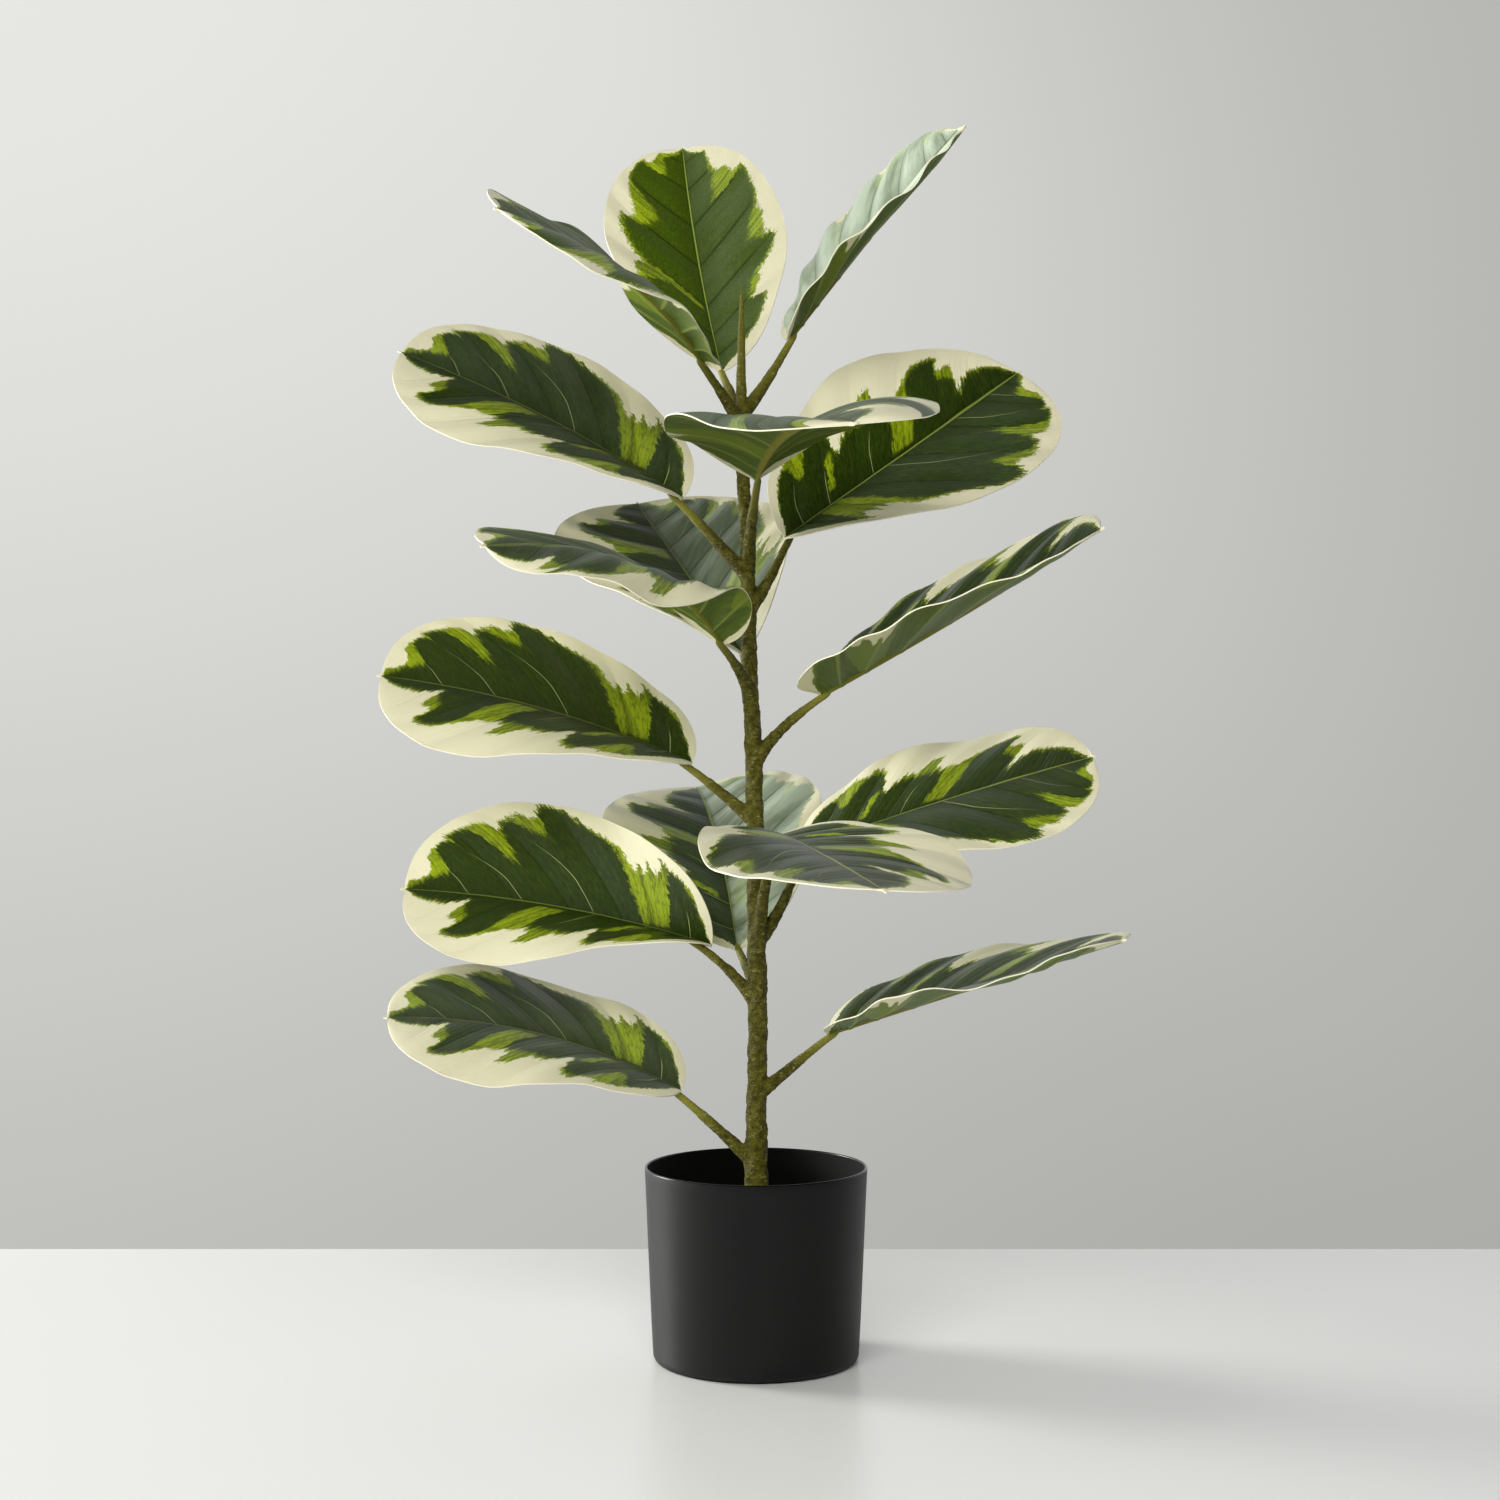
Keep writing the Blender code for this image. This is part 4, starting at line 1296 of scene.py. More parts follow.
@dataclass
class Blade:
    """One leaf blade, laid out by formula from its leaf's named values."""

    leaf: Leaf
    form: BladeForm
    face: bpy.types.Material | None = None
    under: bpy.types.Material | None = None
    cut: bpy.types.Material | None = None
    lowest: Triple = (-1.0, -1.0, 0.0)
    highest: Triple = (1.0, 1.0, 1.0)

    def midrib(self, along: np.ndarray) -> np.ndarray:
        """Points on the midrib, straight on before its base.

        Args:
            along: Shares of its length.

        Returns:
            Points in metres.
        """
        leaf, steps = self.leaf, self.form.midrib_steps
        middle = (np.arange(steps) + 0.5) / steps
        heading = np.radians(leaf.heading + leaf.sweep * middle)
        rise = np.radians(leaf.rise - leaf.droop * middle)
        runs = unit(heading, rise) * (leaf.length * 0.001 / steps)
        places = np.vstack((np.zeros(3), np.cumsum(runs, axis=0))) + np.array(leaf.base) * 0.001
        spot = np.clip(along, 0.0, 1.0) * steps
        marks = np.arange(steps + 1)
        found = np.stack([np.interp(spot, marks, places[:, axis]) for axis in range(3)], axis=-1)
        return found + np.minimum(along, 0.0)[..., None] * runs[0] * steps

    def axes(self, share: np.ndarray) -> tuple[np.ndarray, np.ndarray]:
        """Directions across the blade and out of its face, rolled and twisted about the midrib.

        Args:
            share: Shares of the midrib.

        Returns:
            Right and upper unit directions.
        """
        leaf = self.leaf
        heading = np.radians(leaf.heading + leaf.sweep * share)
        rise = np.radians(leaf.rise - leaf.droop * share)
        level = np.stack((np.sin(heading), -np.cos(heading), np.zeros_like(heading)), axis=-1)
        upper = np.cross(level, unit(heading, rise))
        roll = np.radians(leaf.roll + leaf.twist * share)[..., None]
        return level * np.cos(roll) + upper * np.sin(roll), upper * np.cos(roll) - level * np.sin(roll)

    def breadth(self, share: np.ndarray) -> np.ndarray:
        """Half breadth, drawn in to a small nib at the tip.

        Args:
            share: Shares of the midrib.

        Returns:
            Half breadths in metres.
        """
        form = self.form
        body = 1.0 - form.nib
        least = form.neck_half_width + (form.tip_half_width - form.neck_half_width) * share
        point = np.clip((share - body) / form.nib, 0.0, 1.0)
        least = least + (form.nib_half_width - form.tip_half_width) * point
        return np.maximum(self.leaf.half_width * 0.001 * form.half_width(share / body), least)

    def tilt(self, share: np.ndarray, sides: np.ndarray) -> np.ndarray:
        """Lift of a half about the rib.

        Args:
            share: Shares of the midrib.
            sides: Side coordinates, from -1 to 1.

        Returns:
            Angles in radians.
        """
        leaf = self.leaf
        curl = np.where(sides > 0, leaf.curl_right, leaf.curl_left)
        folded = leaf.fold_tip + (leaf.fold_base - leaf.fold_tip) * (1.0 - share) ** 2
        return np.radians(folded + 0.5 * curl * np.abs(sides))

    def surface(self, rows: np.ndarray, sides: np.ndarray) -> np.ndarray:
        """Points of the upper face.

        Args:
            rows: Row coordinates, 0 at the base and 1 at the tip.
            sides: Side coordinates, -1 at the left margin and 1 at the right.

        Returns:
            Points in metres, with one more axis than rows.
        """
        leaf, form = self.leaf, self.form
        span = np.abs(sides)
        share = form.share_along(rows, sides)
        lobe = np.where(sides > 0, leaf.lobe_right, leaf.lobe_left)
        wave = np.where(sides > 0, leaf.wave_right[0], leaf.wave_left[0]) * 0.001
        phase = np.radians(np.where(sides > 0, leaf.wave_right[1], leaf.wave_left[1]))
        back = rows / form.lobe_place * np.exp(1.0 - rows / form.lobe_place) * span**2
        centre = self.midrib(share - back * lobe / leaf.length)
        right, upper = self.axes(share)
        fold = self.tilt(share, sides)
        turn = np.sin(math.tau * form.waves_per_margin * share + phase)
        lift = wave * span**2 * turn * np.sqrt(np.clip(np.sin(math.pi * share), 0.0, 1.0))
        start = form.vein_start(share, sides, upright_base=False)
        inside = np.sqrt(np.clip(np.sin(math.pi * span), 0.0, 1.0))
        pleats = form.pleats(start, share)
        lift += pleats * (form.pleat_height * leaf.pleat * inside + 0.001 * leaf.scallop * span**4)
        lift -= form.groove_depth * form.near_vein(start) * inside * form.tip_fade(share)
        out = sides[..., None] * np.cos(fold)[..., None] * right + (span * np.sin(fold))[..., None] * upper
        return centre + out * self.breadth(share)[..., None] + lift[..., None] * upper

    def depth(self, rows: np.ndarray, sides: np.ndarray) -> np.ndarray:
        """Thickness below the upper face: thin, with a round rib and low side veins underneath.

        Args:
            rows: Row coordinates.
            sides: Side coordinates.

        Returns:
            Thicknesses in metres.
        """
        form = self.form
        share = form.share_along(rows, sides)
        rib = form.rib_thickness + (form.rib_tip_thickness - form.rib_thickness) * rows - form.thickness
        beside = np.abs(sides) * self.breadth(share)
        start = form.vein_start(share, sides, upright_base=False)
        fade = np.clip((1.0 - np.abs(sides)) / form.vein_fade, 0.0, 1.0)
        veins = form.vein_relief * form.near_vein(start) * fade * (1.0 - rows)
        return form.thickness + rib * np.exp(-((beside / form.rib_spread) ** 2)) + veins

    def underside(self, rows: np.ndarray, sides: np.ndarray) -> np.ndarray:
        """Points of the lower face, square below the upper one.

        Args:
            rows: Row coordinates.
            sides: Side coordinates.

        Returns:
            Points in metres.
        """
        share = self.form.share_along(rows, sides)
        right, upper = self.axes(share)
        beside = np.abs(sides) * self.breadth(share)
        lean = self.tilt(share, sides) * np.clip(beside / self.form.rib_blend, 0.0, 1.0)
        down = np.cos(lean)[..., None] * upper - (np.sign(sides) * np.sin(lean))[..., None] * right
        return self.surface(rows, sides) - down * self.depth(rows, sides)[..., None]

    def print_place(self, share: np.ndarray, sides: np.ndarray) -> np.ndarray:
        """Place in the markings along the blade, moved as the leaf says.

        Args:
            share: Shares of the midrib.
            sides: Side coordinates.

        Returns:
            Places from 0 at the base to 1 at the tip.
        """
        start = self.form.vein_start(share, sides, upright_base=True)
        right, left = self.leaf.print_right, self.leaf.print_left
        slide, lean, spread = (np.where(sides > 0, a, b) for a, b in zip(right, left))
        moved = start + np.sin(math.pi * start) * (slide + lean * np.abs(sides))
        return moved + spread * np.sin(math.tau * start)

    def print_across(self, start: np.ndarray, sides: np.ndarray) -> np.ndarray:
        """Place in the markings across the blade.

        Args:
            start: Places in the markings along the blade.
            sides: Side coordinates.

        Returns:
            Places from 0 at the left margin over 0.5 at the rib to 1 at the right.
        """
        leaf, form = self.leaf, self.form
        span = leaf.print_breadth * np.abs(sides)
        near_tip = np.clip((start - form.fill_from) / form.fill_over, 0.0, 1.0)
        near_tip = near_tip * np.clip(span / form.fill_span, 0.0, 1.0)
        span = np.where(sides < 0, span - leaf.print_fill * near_tip, span)
        return 0.5 + 0.5 * np.sign(sides) * span

    def build(self) -> bpy.types.Object:
        """Lay out the blade, give it its thickness, and hand it over to the frame.

        Returns:
            The new object, which stands for the leaf's node.
        """
        form, leaf = self.form, self.leaf
        rows, sides = form.grid()
        upper = np.clip(self.surface(rows, sides).reshape(-1, 3), self.lowest, self.highest)
        lower = np.clip(self.underside(rows, sides).reshape(-1, 3), self.lowest, self.highest)
        share = form.share_along(rows, sides)
        start = np.clip(self.print_place(share, sides), 0.0, 1.0)
        placed = np.stack((start.ravel(), self.print_across(start, sides).ravel()), axis=-1)
        counts = form.vein_count(form.vein_start(share, sides, upright_base=False)).ravel()
        blade = bmesh.new()
        bmesh.ops.create_grid(blade, x_segments=form.columns, y_segments=form.rows, size=1.0)
        numbers = blade.verts.layers.int.new("number")
        flat = blade.loops.layers.uv.new("Blade")
        # Share of painted sheen, a pale painted reflection, on each half, kept at each vertex.
        painted_sheen = np.where(sides > 0, *leaf.painted_sheen).ravel()
        relief = np.clip(form.tip_fade(share) * 3.0, 0.0, 1.0) * np.clip(share / form.end_fade, 0.0, 1.0)
        kept = {"side_vein": counts, "painted_sheen": painted_sheen, "relief": relief.ravel()}
        kept["rib_light"] = np.full_like(counts, leaf.rib_light)
        layers = {name: blade.verts.layers.float.new(name) for name in kept}
        for number, vertex in enumerate(blade.verts):
            vertex.co = upper[number]
            vertex[numbers] = number
            for name, layer in layers.items():
                vertex[layer] = float(kept[name][number])
            for loop in vertex.link_loops:
                loop[flat].uv = placed[number]
        tops = set(blade.faces)
        grown = set(bmesh.ops.extrude_face_region(blade, geom=list(tops), use_keep_orig=True)["geom"])
        for vertex in blade.verts:
            if vertex in grown:
                vertex.co = lower[vertex[numbers]]
        for side in blade.faces:
            side.material_index = 0 if side in tops else 1 if side in grown else 2
        bmesh.ops.recalc_face_normals(blade, faces=blade.faces)
        blade.verts.layers.int.remove(numbers)
        for edge in blade.edges:
            edge.smooth = len({side.material_index for side in edge.link_faces}) == 1
        blade = piece("blade_" + leaf.name[-2:], blade)
        for material in (self.face, self.under, self.cut):
            blade.data.materials.append(material)
        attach(blade, "root")
        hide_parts(leaf.name)
        log.info("%s stands for %s", blade.name, leaf.name)
        return blade


@dataclass
class Foliage:
    """All the blades, which share their form and finishes."""

    form: BladeForm
    margin: float = 0.0001
    blotched: tuple[str, ...] = ("leaf_01", "leaf_02", "leaf_03")

    def build(self) -> None:
        """Make the finishes once and build every blade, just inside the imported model's box."""
        low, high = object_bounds()
        lowest = tuple(value + self.margin for value in low)
        highest = tuple(value - self.margin for value in high)
        faces = {
            Pattern.FEATHERED: BladeFinish(Pattern.FEATHERED).make(),
            Pattern.BLOTCHED: BladeFinish(
                Pattern.BLOTCHED,
                dark=(0.045, 0.078, 0.0030),
                mid=(0.110, 0.165, 0.0060),
                lime=(0.300, 0.400, 0.012),
                # The painted shade in the grooves is darker on these blades.
                groove=0.75,
                streak_scale=(105.0, 42.0, 1.0),
                hair_scale=(240.0, 120.0, 1.0),
            ).make(),
        }
        under = UndersideFinish().make()
        cut = CutEdgeFinish().make()
        for leaf in LEAVES:
            pattern = Pattern.BLOTCHED if leaf.name in self.blotched else Pattern.FEATHERED
            Blade(leaf, self.form, faces[pattern], under, cut, lowest, highest).build()


# Stem


@dataclass
class Stem:
    """Trunk with its closed bud and sixteen stalks, grown together and covered with scaly bark."""

    foot: float = 0.012
    foot_radius: float = 0.0076
    foot_top: float = 0.096
    line: tuple[Triple, ...] = (
        (0.096, 0.0001, 0.0076),
        (0.125, 0.0001, 0.0073),
        (0.160, 0.0003, 0.0063),
        (0.190, 0.0010, 0.0061),
        (0.225, 0.0010, 0.0061),
        (0.262, 0.0005, 0.0059),
        (0.306, 0.0000, 0.0057),
        (0.352, -0.0010, 0.0055),
        (0.390, -0.0018, 0.0053),
        (0.415, -0.0033, 0.0051),
        (0.440, -0.0042, 0.0048),
        (0.477, -0.0045, 0.0046),
        (0.515, -0.0056, 0.0044),
        (0.547, -0.0077, 0.0042),
        (0.580, -0.0090, 0.0041),
        (0.600, -0.0093, 0.0035),
        (0.641, -0.0092, 0.0025),
        (0.660, -0.0092, 0.0016),
        (0.673, -0.0092, 0.0007),
        (0.678, -0.0092, 0.0003),
    )
    knob: float = 0.00035
    stalk_root: float = 0.0034
    stalk_tip: float = 0.0021
    stalk_flare: float = 0.0012
    last_handle: float = 0.12
    sleeve_step: float = 0.00045
    sleeve_least: float = 0.44
    sleeve_more: float = 0.18
    sleeve_stride: float = 0.618
    sleeve_fade: float = 0.03
    end_from: float = 0.88
    end_taper: float = 0.45
    butt_drop: float = 0.75
    tuck: float = 0.0070
    trunk_sides: int = 40
    trunk_rings: int = 360
    stalk_sides: int = 24
    stalk_rings: int = 60
    voxel: float = 0.00078
    smoothings: int = 3
    bark_coarse: float = 0.00034
    bark_fine: float = 0.00030
    young_bark: float = 0.12
    young_from: float = 0.012
    young_over: float = 0.030
    bud_youth: float = 0.45
    bud_from: float = 0.585
    bud_over: float = 0.05
    coarse_scale: Triple = (230.0, 230.0, 300.0)
    scale_scale: Triple = (420.0, 420.0, 620.0)
    scale_shift: float = 7.0

    def at(self, height: float) -> Pair:
        """Trunk at a height, eased between the points of its line.

        Args:
            height: Height in metres.

        Returns:
            Sideways place and radius.
        """
        for (low, low_x, low_radius), (high, high_x, high_radius) in zip(self.line, self.line[1:]):
            if height <= high:
                share = smooth((height - low) / (high - low))
                return low_x + (high_x - low_x) * share, low_radius + (high_radius - low_radius) * share
        return self.line[-1][1], self.line[-1][2]

    def tube(self, target: bmesh.types.BMesh, rings: int, sides: int, ring_at: Rings) -> None:
        """Add a closed tube to a bmesh.

        Args:
            target: Takes the tube.
            rings: Number of spaces between rings.
            sides: Number of sides.
            ring_at: Gives the centre, two axes across and a function of angle for the radius, for a share
                of the tube's length from 0 to 1.
        """
        sheet = bmesh.new()
        bmesh.ops.create_grid(sheet, x_segments=sides, y_segments=rings, size=0.5)
        made: dict[int, tuple] = {}
        for number, vertex in enumerate(sheet.verts):
            ring, side = divmod(number, sides + 1)
            if ring not in made:
                made[ring] = ring_at(ring / rings)
            centre, across, over, radius_at = made[ring]
            angle = math.tau * (side % sides) / sides
            vertex.co = centre + (across * math.cos(angle) + over * math.sin(angle)) * radius_at(angle)
        bmesh.ops.remove_doubles(sheet, verts=sheet.verts, dist=0.000001)
        bmesh.ops.holes_fill(sheet, edges=[edge for edge in sheet.edges if edge.is_boundary], sides=0)
        bmesh.ops.recalc_face_normals(sheet, faces=sheet.faces)
        part = bpy.data.meshes.new("part")
        sheet.to_mesh(part)
        sheet.free()
        target.from_mesh(part)
        bpy.data.meshes.remove(part)

    def trunk_ring(self, share: float) -> tuple:
        """Ring of the trunk, knobbly where it is thick.

        Args:
            share: Share of the trunk's length.

        Returns:
            Its centre, two axes across and a function of angle for the radius.
        """
        height = self.foot + (self.line[-1][0] - self.foot) * share
        place, radius = self.at(height) if height > self.foot_top else (0.0, self.foot_radius)
        knob = self.knob * smooth((radius - 0.002) / 0.003) * smooth((height - self.foot_top) / 0.006)

        def radius_at(angle: float) -> float:
            """Radius at an angle round the trunk."""
            lumps = math.sin(3.0 * angle + 190.0 * height) + math.sin(5.0 * angle - 430.0 * height + 1.0)
            return radius + knob * lumps

        return Vector((place, 0.0, height)), Vector((1, 0, 0)), Vector((0, 1, 0)), radius_at

    def stalk(self, leaf: Leaf, number: int, form: BladeForm) -> Rings:
        """Lay one stalk from inside the trunk to its blade, butting on its base or running under its rib.

        Args:
            leaf: Leaf that the stalk carries.
            number: Place of the leaf in the list.
            form: Shape of the blades.

        Returns:
            A function of the share of its length for the stalk's rings.
        """
        height = leaf.stalk_foot * 0.001
        start = Vector((self.at(height)[0], 0.0, height))
        blade = Blade(leaf, form)
        heading, rise = math.radians(leaf.heading), math.radians(leaf.rise)
        run = Vector(unit(np.array(heading), np.array(rise)))
        upper = Vector(blade.axes(np.array(0.0))[1])
        base = Vector(leaf.base) * 0.001
        if leaf.stalk_reach:
            end = base + run * (leaf.stalk_reach * 0.001 + self.tuck) - upper * form.rib_thickness
        else:
            end = base - upper * (self.butt_drop * form.rib_thickness) + run * self.tuck
        chord = end - start
        level = Vector((chord.x, chord.y, 0.0)).normalized()
        lift = math.radians(leaf.stalk_rise)
        away = level * math.cos(lift) + Vector((0, 0, math.sin(lift)))
        first = start + away * (chord.length * leaf.stalk_handle)
        second = end - run * (chord.length * self.last_handle)
        sleeve_end = self.sleeve_least + self.sleeve_more * ((number * self.sleeve_stride) % 1.0)

        def ring_at(part: float) -> tuple:
            """Ring of the stalk.

            Args:
                part: Share of the stalk's length.

            Returns:
                Its centre, two axes across and a function of angle for the radius.
            """
            rest = 1.0 - part
            place = start * rest**3 + first * (3.0 * rest * rest * part)
            place += second * (3.0 * rest * part * part) + end * part**3
            tangent = (first - start) * (rest * rest) + (second - first) * (2.0 * rest * part)
            tangent = (tangent + (end - second) * (part * part)).normalized()
            radius = self.stalk_root + (self.stalk_tip - self.stalk_root) * part
            radius += self.stalk_flare * max(0.0, 1.0 - 3.0 * part)
            radius += self.sleeve_step * smooth((sleeve_end - part) / self.sleeve_fade)
            radius *= 1.0 - self.end_taper * smooth((part - self.end_from) / (1.0 - self.end_from))
            across = tangent.cross(Vector((0, 0, 1))).normalized()
            return place, across, across.cross(tangent), lambda angle: radius

        return ring_at

    def bark(self, mesh: bpy.types.Mesh) -> None:
        """Raise the bark on a mesh, and keep its relief and how young each spot is for the finish.

        Args:
            mesh: Trunk and stalks, grown together.
        """
        solid = bmesh.new()
        solid.from_mesh(mesh)
        axes = {"use_axis_x": True, "use_axis_y": True, "use_axis_z": True}
        for _ in range(self.smoothings):
            bmesh.ops.smooth_vert(solid, verts=solid.verts, factor=0.5, **axes)
        solid.normal_update()
        relief_layer = solid.verts.layers.float.new("relief")
        youth_layer = solid.verts.layers.float.new("youth")
        for vertex in solid.verts:
            place = vertex.co
            axis, radius = self.at(place.z)
            away = math.hypot(place.x - axis, place.y) - radius
            youth = smooth((away - self.young_from) / self.young_over)
            youth = max(youth, self.bud_youth * smooth((place.z - self.bud_from) / self.bud_over))
            x, y, z = (part * scale for part, scale in zip(place, self.coarse_scale))
            coarse = noise.noise(Vector((x, y, z)))
            x, y, z = (part * scale for part, scale in zip(place, self.scale_scale))
            scales = noise.noise(Vector((x + self.scale_shift, y, z)))
            lift = self.bark_coarse * coarse + self.bark_fine * scales
            lift = lift * (self.young_bark + (1.0 - self.young_bark) * (1.0 - youth))
            lift *= smooth((place.z - self.foot_top + 0.02) / 0.01)
            vertex[relief_layer] = 0.5 + 0.5 * (0.7 * coarse + 0.5 * scales)
            vertex[youth_layer] = youth
            vertex.co = place + vertex.normal * lift
        solid.to_mesh(mesh)
        solid.free()
        mesh.shade_smooth()

    def build(self, form: BladeForm) -> bpy.types.Object:
        """Grow the trunk and stalks together, then cover them with bark.

        Args:
            form: Shape of the blades that the stalks carry.

        Returns:
            The stem, which stands for its node.
        """
        parts = bmesh.new()
        self.tube(parts, self.trunk_rings, self.trunk_sides, self.trunk_ring)
        for number, leaf in enumerate(LEAVES):
            self.tube(parts, self.stalk_rings, self.stalk_sides, self.stalk(leaf, number, form))
        stem = piece("trunk", parts)
        remesh = stem.modifiers.new("grow together", "REMESH")
        remesh.mode = "VOXEL"
        remesh.voxel_size = self.voxel
        grown = made_final(stem)
        stem.data = grown
        self.bark(grown)
        grown.materials.clear()
        grown.materials.append(BarkFinish().make())
        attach(stem, "root")
        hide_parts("stem")
        log.info("%s has %d faces", stem.name, len(grown.polygons))
        return stem


# Pot and filling


@dataclass
class Pot:
    """Round tapered pail with a rounded foot, a thin lip and a fine ledge inside."""

    height: float = 0.1215
    rim_radius: float = 0.0700
    foot_radius: float = 0.0647
    wall: float = 0.0022
    floor: float = 0.0030
    corner: float = 0.0050
    ledge_drop: float = 0.0090
    ledge_step: float = 0.0005
    ledge_rise: float = 0.0003
    ledge_fall: float = 0.0002
    steps: int = 192

    def outer(self, height: float) -> float:
        """Radius of the straight tapered side."""
        return self.foot_radius + (self.rim_radius - self.foot_radius) * height / self.height

    def inner(self, height: float) -> float:
        """Radius of the inner side below the ledge."""
        return self.outer(height) - self.wall

    def build(self) -> bpy.types.Object:
        """Turn the pail and finish it.

        Returns:
            The pail, which stands for the pot's node.
        """
        lip = 0.5 * (self.wall - self.ledge_step)
        ledge = self.height - self.ledge_drop
        profile = [(0.0, 0.0)]
        profile += arc((self.foot_radius - self.corner, self.corner), self.corner, -90, 0, 10)
        for share in (0.2, 0.4, 0.6, 0.8, 0.95):
            profile.append((self.outer(self.height * share), self.height * share))
        profile += arc((self.rim_radius - lip, self.height - lip), lip, 0, 180, 8)
        profile.append((self.inner(ledge) + self.ledge_step, ledge + self.ledge_rise))
        profile.append((self.inner(ledge) + 0.3 * self.ledge_step, ledge - self.ledge_fall))
        profile.append((self.inner(ledge), ledge - self.ledge_step))
        inside = (self.inner(self.corner) - self.corner, self.corner + self.floor)
        profile += arc(inside, self.corner, 0, -90, 5)
        profile.append((0.0, self.floor))
        pot = piece("pail", turned(profile, self.steps))
        pot.data.set_sharp_from_angle(angle=math.radians(40))
        pot.data.materials.append(PotFinish().make())
        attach(pot, "root")
        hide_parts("pot")
        log.info("%s has %d faces", pot.name, len(pot.data.polygons))
        return pot


@dataclass
class Filling:
    """Growing medium in the pot: a lumpy mound strewn with crumbs."""

    pot: Pot
    stem: Stem
    below_rim: float = 0.031
    gap: float = 0.0003
    wall_gap: float = 0.0006
    foot_gap: float = 0.0053
    mound: float = 0.003
    lump: float = 0.0016
    lump_scale: float = 90.0
    fine_scale: float = 320.0
    calm: float = 0.0008
    rings: int = 44
    steps: int = 160
    crumbs: int = 420
    crumb_least: float = 0.0007
    crumb_most: float = 0.0021
    crumb_margin: float = 0.003
    crumb_lift: float = 0.25
    crumb_flat: Pair = (0.55, 0.95)
    crumb_rough: float = 0.35
    seed: int = 16

    def level(self, radius: float) -> float:
        """Height of the mound at a radius, before its lumps."""
        hole, edge = self.stem.foot_radius, self.pot.inner(self.top) - self.wall_gap
        return self.top + self.mound * (1.0 - min(1.0, max(0.0, (radius - hole) / (edge - hole))))

    @property
    def top(self) -> float:
        """Height of the surface at the pot's wall."""
        return self.pot.height - self.below_rim

    def lumped(self, x: float, y: float) -> float:
        """Height of the lumps.

        Args:
            x: Place to the right.
            y: Place towards the back.

        Returns:
            Height above the mound.
        """
        coarse = noise.noise(Vector((x * self.lump_scale, y * self.lump_scale, 0.3)))
        fine = noise.noise(Vector((x * self.fine_scale, y * self.fine_scale, 4.1)))
        return self.lump * (0.8 * coarse + 0.45 * fine)

    def build(self) -> bpy.types.Object:
        """Turn the mound, lump it, and strew crumbs over it.

        Returns:
            The filling, which stands for the soil's node.
        """
        hole = self.stem.foot_radius + self.gap
        edge = self.pot.inner(self.top) - self.wall_gap
        low = self.pot.floor + self.gap
        profile = [(0.0, low), (self.pot.inner(0.0) - self.foot_gap, low)]
        profile.append((self.pot.inner(self.pot.corner) - self.wall_gap, self.pot.corner + self.pot.floor))
        for index in range(self.rings + 1):
            radius = edge + (hole - edge) * index / self.rings
            profile.append((radius, self.level(radius)))
        profile += [(hole, self.stem.foot - self.gap), (0.0, self.stem.foot - self.gap)]
        solid = turned(profile, self.steps)
        for vertex in solid.verts:
            radius = math.hypot(vertex.co.x, vertex.co.y)
            if vertex.co.z > self.top - 0.001 and hole + self.calm < radius < edge - self.calm:
                vertex.co.z += self.lumped(vertex.co.x, vertex.co.y)
        draw = random.Random(self.seed)
        for _ in range(self.crumbs):
            angle = draw.uniform(0.0, math.tau)
            least, most = hole + self.crumb_margin, edge - self.crumb_margin
            radius = math.sqrt(draw.uniform(least**2, most**2))
            size = draw.uniform(self.crumb_least, self.crumb_most)
            x, y = radius * math.cos(angle), radius * math.sin(angle)
            height = self.level(radius) + self.lumped(x, y) + self.crumb_lift * size
            made = bmesh.ops.create_icosphere(solid, subdivisions=1, radius=size)["verts"]
            flat = draw.uniform(*self.crumb_flat)
            for vertex in made:
                rough = 1.0 + self.crumb_rough * draw.uniform(-1.0, 1.0)
                co = vertex.co * rough
                vertex.co = Vector((co.x + x, co.y + y, co.z * flat + height))
        soil = piece("medium", solid)
        soil.data.materials.append(SoilFinish().make())
        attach(soil, "root")
        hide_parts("soil")
        log.info("%s has %d faces", soil.name, len(soil.data.polygons))
        return soil


# Studio


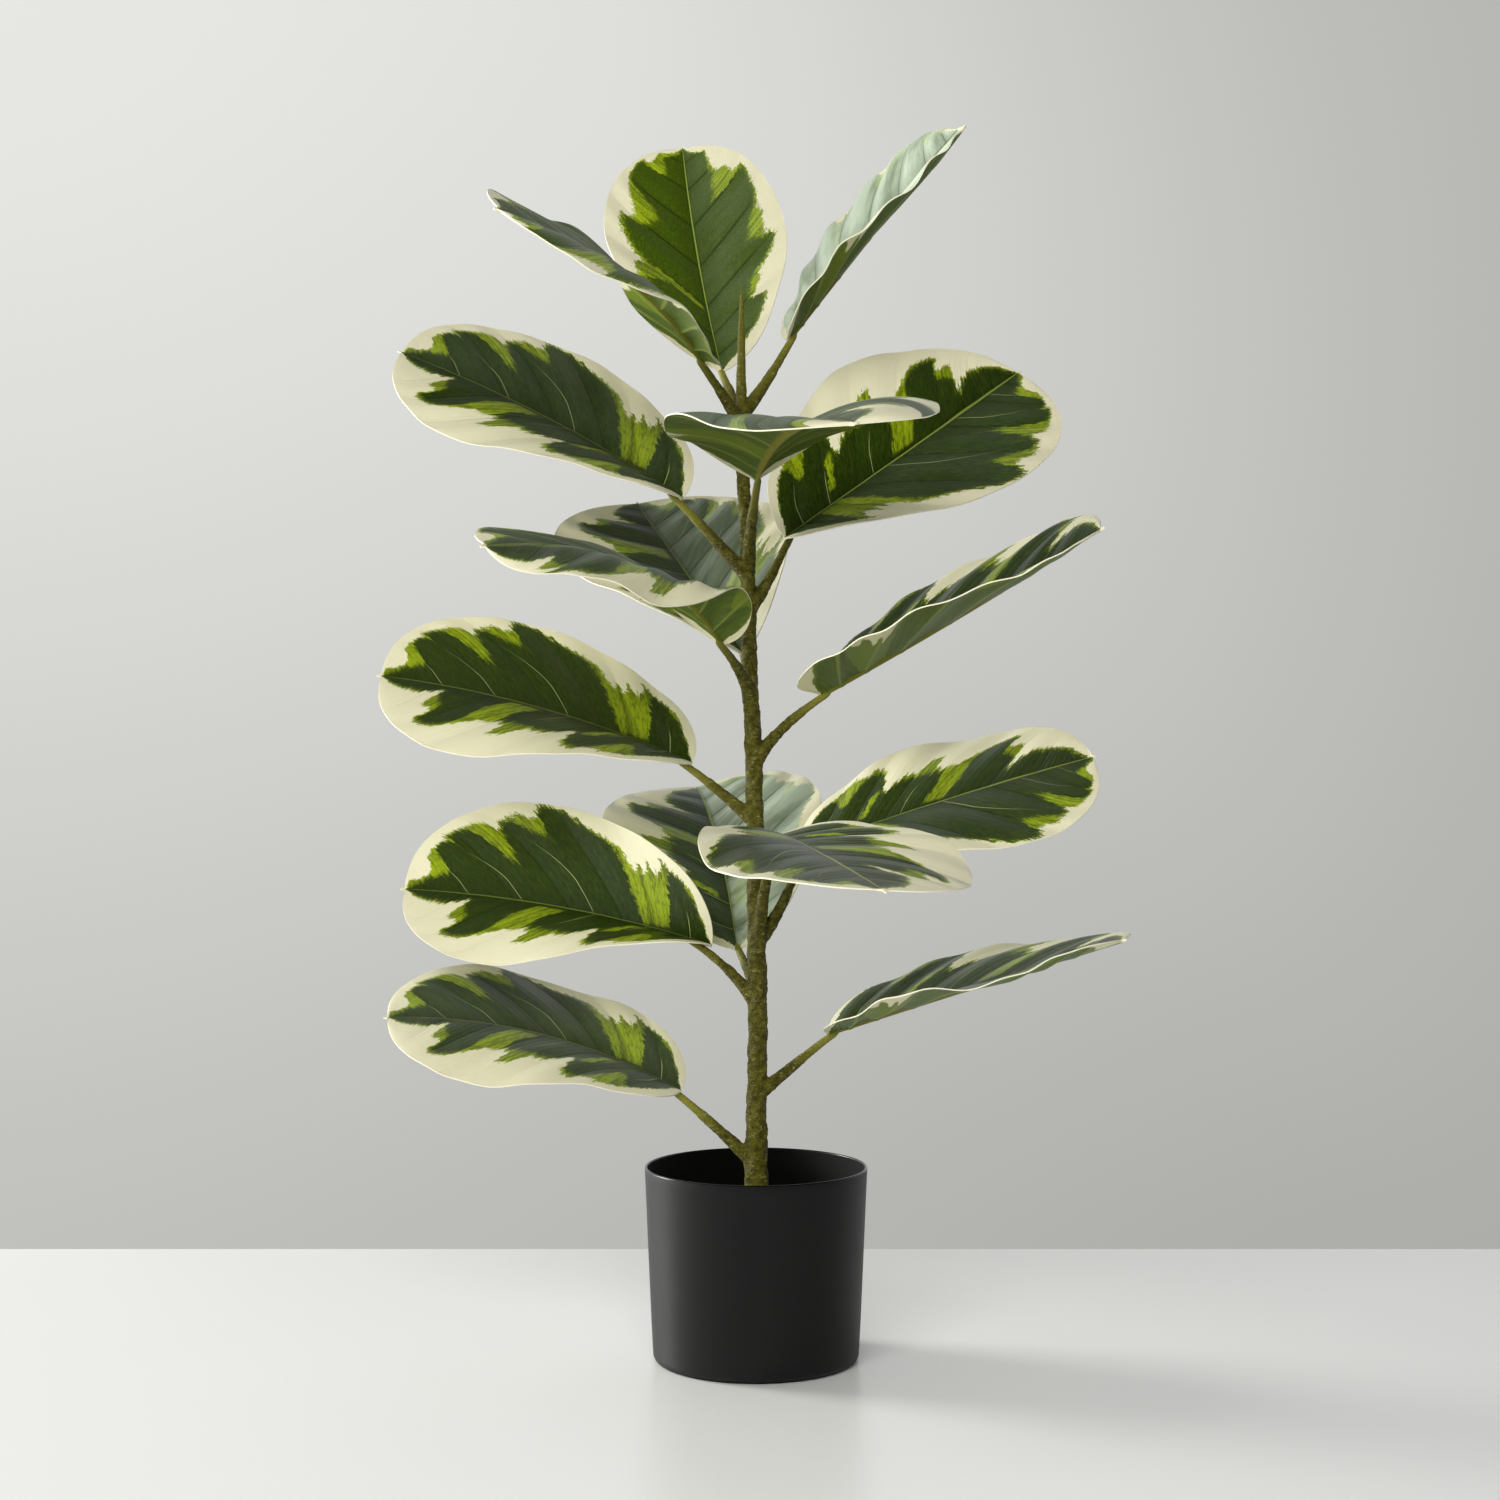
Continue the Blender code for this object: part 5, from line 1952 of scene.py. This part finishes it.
@dataclass
class Studio:
    """Plain pale table top, soft light from the left, a pale surround, and the camera."""

    table_half_length: float = 2.2
    table_back: float = 0.332
    table_front: float = -2.2
    table_thickness: float = 0.03
    camera_place: Triple = (-0.0038, -1.51, 0.383)
    lens: float = 57.6
    sensor: float = 36.0
    aim: Triple = (0.0, 0.0, 0.35)
    seen_tone: Tone = (1.0, 1.0, 0.965)
    seen_strength: float = 0.575
    lit_tone: Tone = (0.97, 1.0, 1.0)

    def floor(self) -> None:
        """Table top, whose back edge meets the surround behind the plant."""
        slab = bmesh.new()
        bmesh.ops.create_cube(slab, size=1.0)
        depth = self.table_back - self.table_front
        size = (2.0 * self.table_half_length, depth, self.table_thickness)
        bmesh.ops.scale(slab, verts=slab.verts, vec=size)
        middle = 0.5 * (self.table_back + self.table_front)
        bmesh.ops.translate(slab, verts=slab.verts, vec=(0.0, middle, -0.5 * self.table_thickness))
        floor = piece("floor", slab)
        floor.data.shade_flat()
        floor.data.materials.append(FloorFinish().make())
        floor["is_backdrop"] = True

    def light(self, name: str, place: Triple, size: Pair, power: float, tone: Tone, gloss: bool) -> None:
        """Add a soft rectangular light aimed at the middle of the plant.

        Args:
            name: Name of the light.
            place: Where it stands.
            size: Its breadth and height.
            power: Its power in watts.
            tone: Its colour.
            gloss: True if glossy surfaces show it.
        """
        data = bpy.data.lights.new(name, "AREA")
        data.shape = "RECTANGLE"
        data.size, data.size_y = size
        data.energy = power
        data.color = tone
        lamp = bpy.data.objects.new(name, data)
        lamp.location = place
        lamp.rotation_euler = (Vector(self.aim) - Vector(place)).to_track_quat("-Z", "Y").to_euler()
        lamp.visible_camera = False
        lamp.visible_glossy = gloss
        bpy.context.scene.collection.objects.link(lamp)

    def surround(self) -> None:
        """Pale surround, seen with painted window light: brighter to the left and upwards and dimmer towards
        the upper right. Where it lights, it is brighter behind and to the left.
        """
        graph = Graph(bpy.data.worlds.new("surround"))
        bpy.context.scene.world = graph.owner
        graph.tree.nodes.clear()
        direction = graph.node("TexCoord").outputs["Generated"]

        def ramp(axis: Tone, low: float, high: float, start: float, end: float) -> Socket:
            """Smooth change of brightness with the share of the looked-at direction along an axis."""
            along = graph.node("VectorMath", {0: direction, 1: axis}, operation="DOT_PRODUCT")
            return graph.ease(along.outputs["Value"], low, high, start, end)

        across = ramp((1.0, 0.0, 0.0), -0.34, 0.34, 1.10, 0.86)
        upward = ramp((0.0, 0.0, 1.0), -0.34, 0.34, 0.78, 1.28)
        corner = ramp((0.8, 0.0, 0.6), 0.10, 0.45, 1.0, 0.74)
        behind = ramp((0.0, 1.0, 0.0), -0.15, 0.55, 0.03, 0.74)
        below_ceiling = ramp((0.0, 0.0, 1.0), 0.35, 0.85, 1.0, 0.22)
        leftward = ramp((-1.0, 0.0, 0.0), 0.30, 0.95, 0.0, 0.85)
        # Painted light: the seen backdrop is brighter to the left and upwards and dimmer towards the upper
        # right.
        painted_wall_light = graph.times(across, upward, corner, self.seen_strength)
        total = graph.plus(graph.times(behind, below_ceiling), graph.times(leftward, below_ceiling))
        seen = graph.node("Background", {"Color": self.seen_tone, "Strength": painted_wall_light}).outputs[0]
        lit = graph.node("Background", {"Color": self.lit_tone, "Strength": total}).outputs[0]
        by_camera = graph.node("LightPath").outputs["Is Camera Ray"]
        choice = graph.node("MixShader", {0: by_camera, 1: lit, 2: seen}).outputs[0]
        graph.node("OutputWorld", {"Surface": choice})

    def camera(self) -> None:
        """Level camera in front of the plant."""
        data = bpy.data.cameras.new("camera")
        data.lens = self.lens
        data.sensor_width = self.sensor
        camera = bpy.data.objects.new("camera", data)
        camera.location = self.camera_place
        camera.rotation_euler = (math.radians(90.0), 0.0, 0.0)
        bpy.context.scene.collection.objects.link(camera)
        bpy.context.scene.camera = camera

    def build(self) -> None:
        """Set up the stage, the lights and the camera."""
        self.floor()
        self.surround()
        self.light("window", (-2.6, 1.0, 0.95), (1.0, 1.4), 86.0, (1.0, 0.985, 0.95), gloss=True)
        self.light("front", (-0.6, -2.75, 1.4), (2.5, 2.0), 105.0, (1.0, 0.99, 0.965), gloss=False)
        self.camera()
        settings = bpy.context.scene.view_settings
        settings.view_transform = "Standard"
        settings.look = "None"


def main() -> None:
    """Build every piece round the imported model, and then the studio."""
    logging.basicConfig(level=logging.INFO, format="%(message)s")
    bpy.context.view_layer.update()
    form = BladeForm()
    pot = Pot()
    stem = Stem()
    pot.build()
    Filling(pot, stem).build()
    stem.build(form)
    Foliage(form).build()
    Studio().build()


if __name__ == "__main__":
    main()
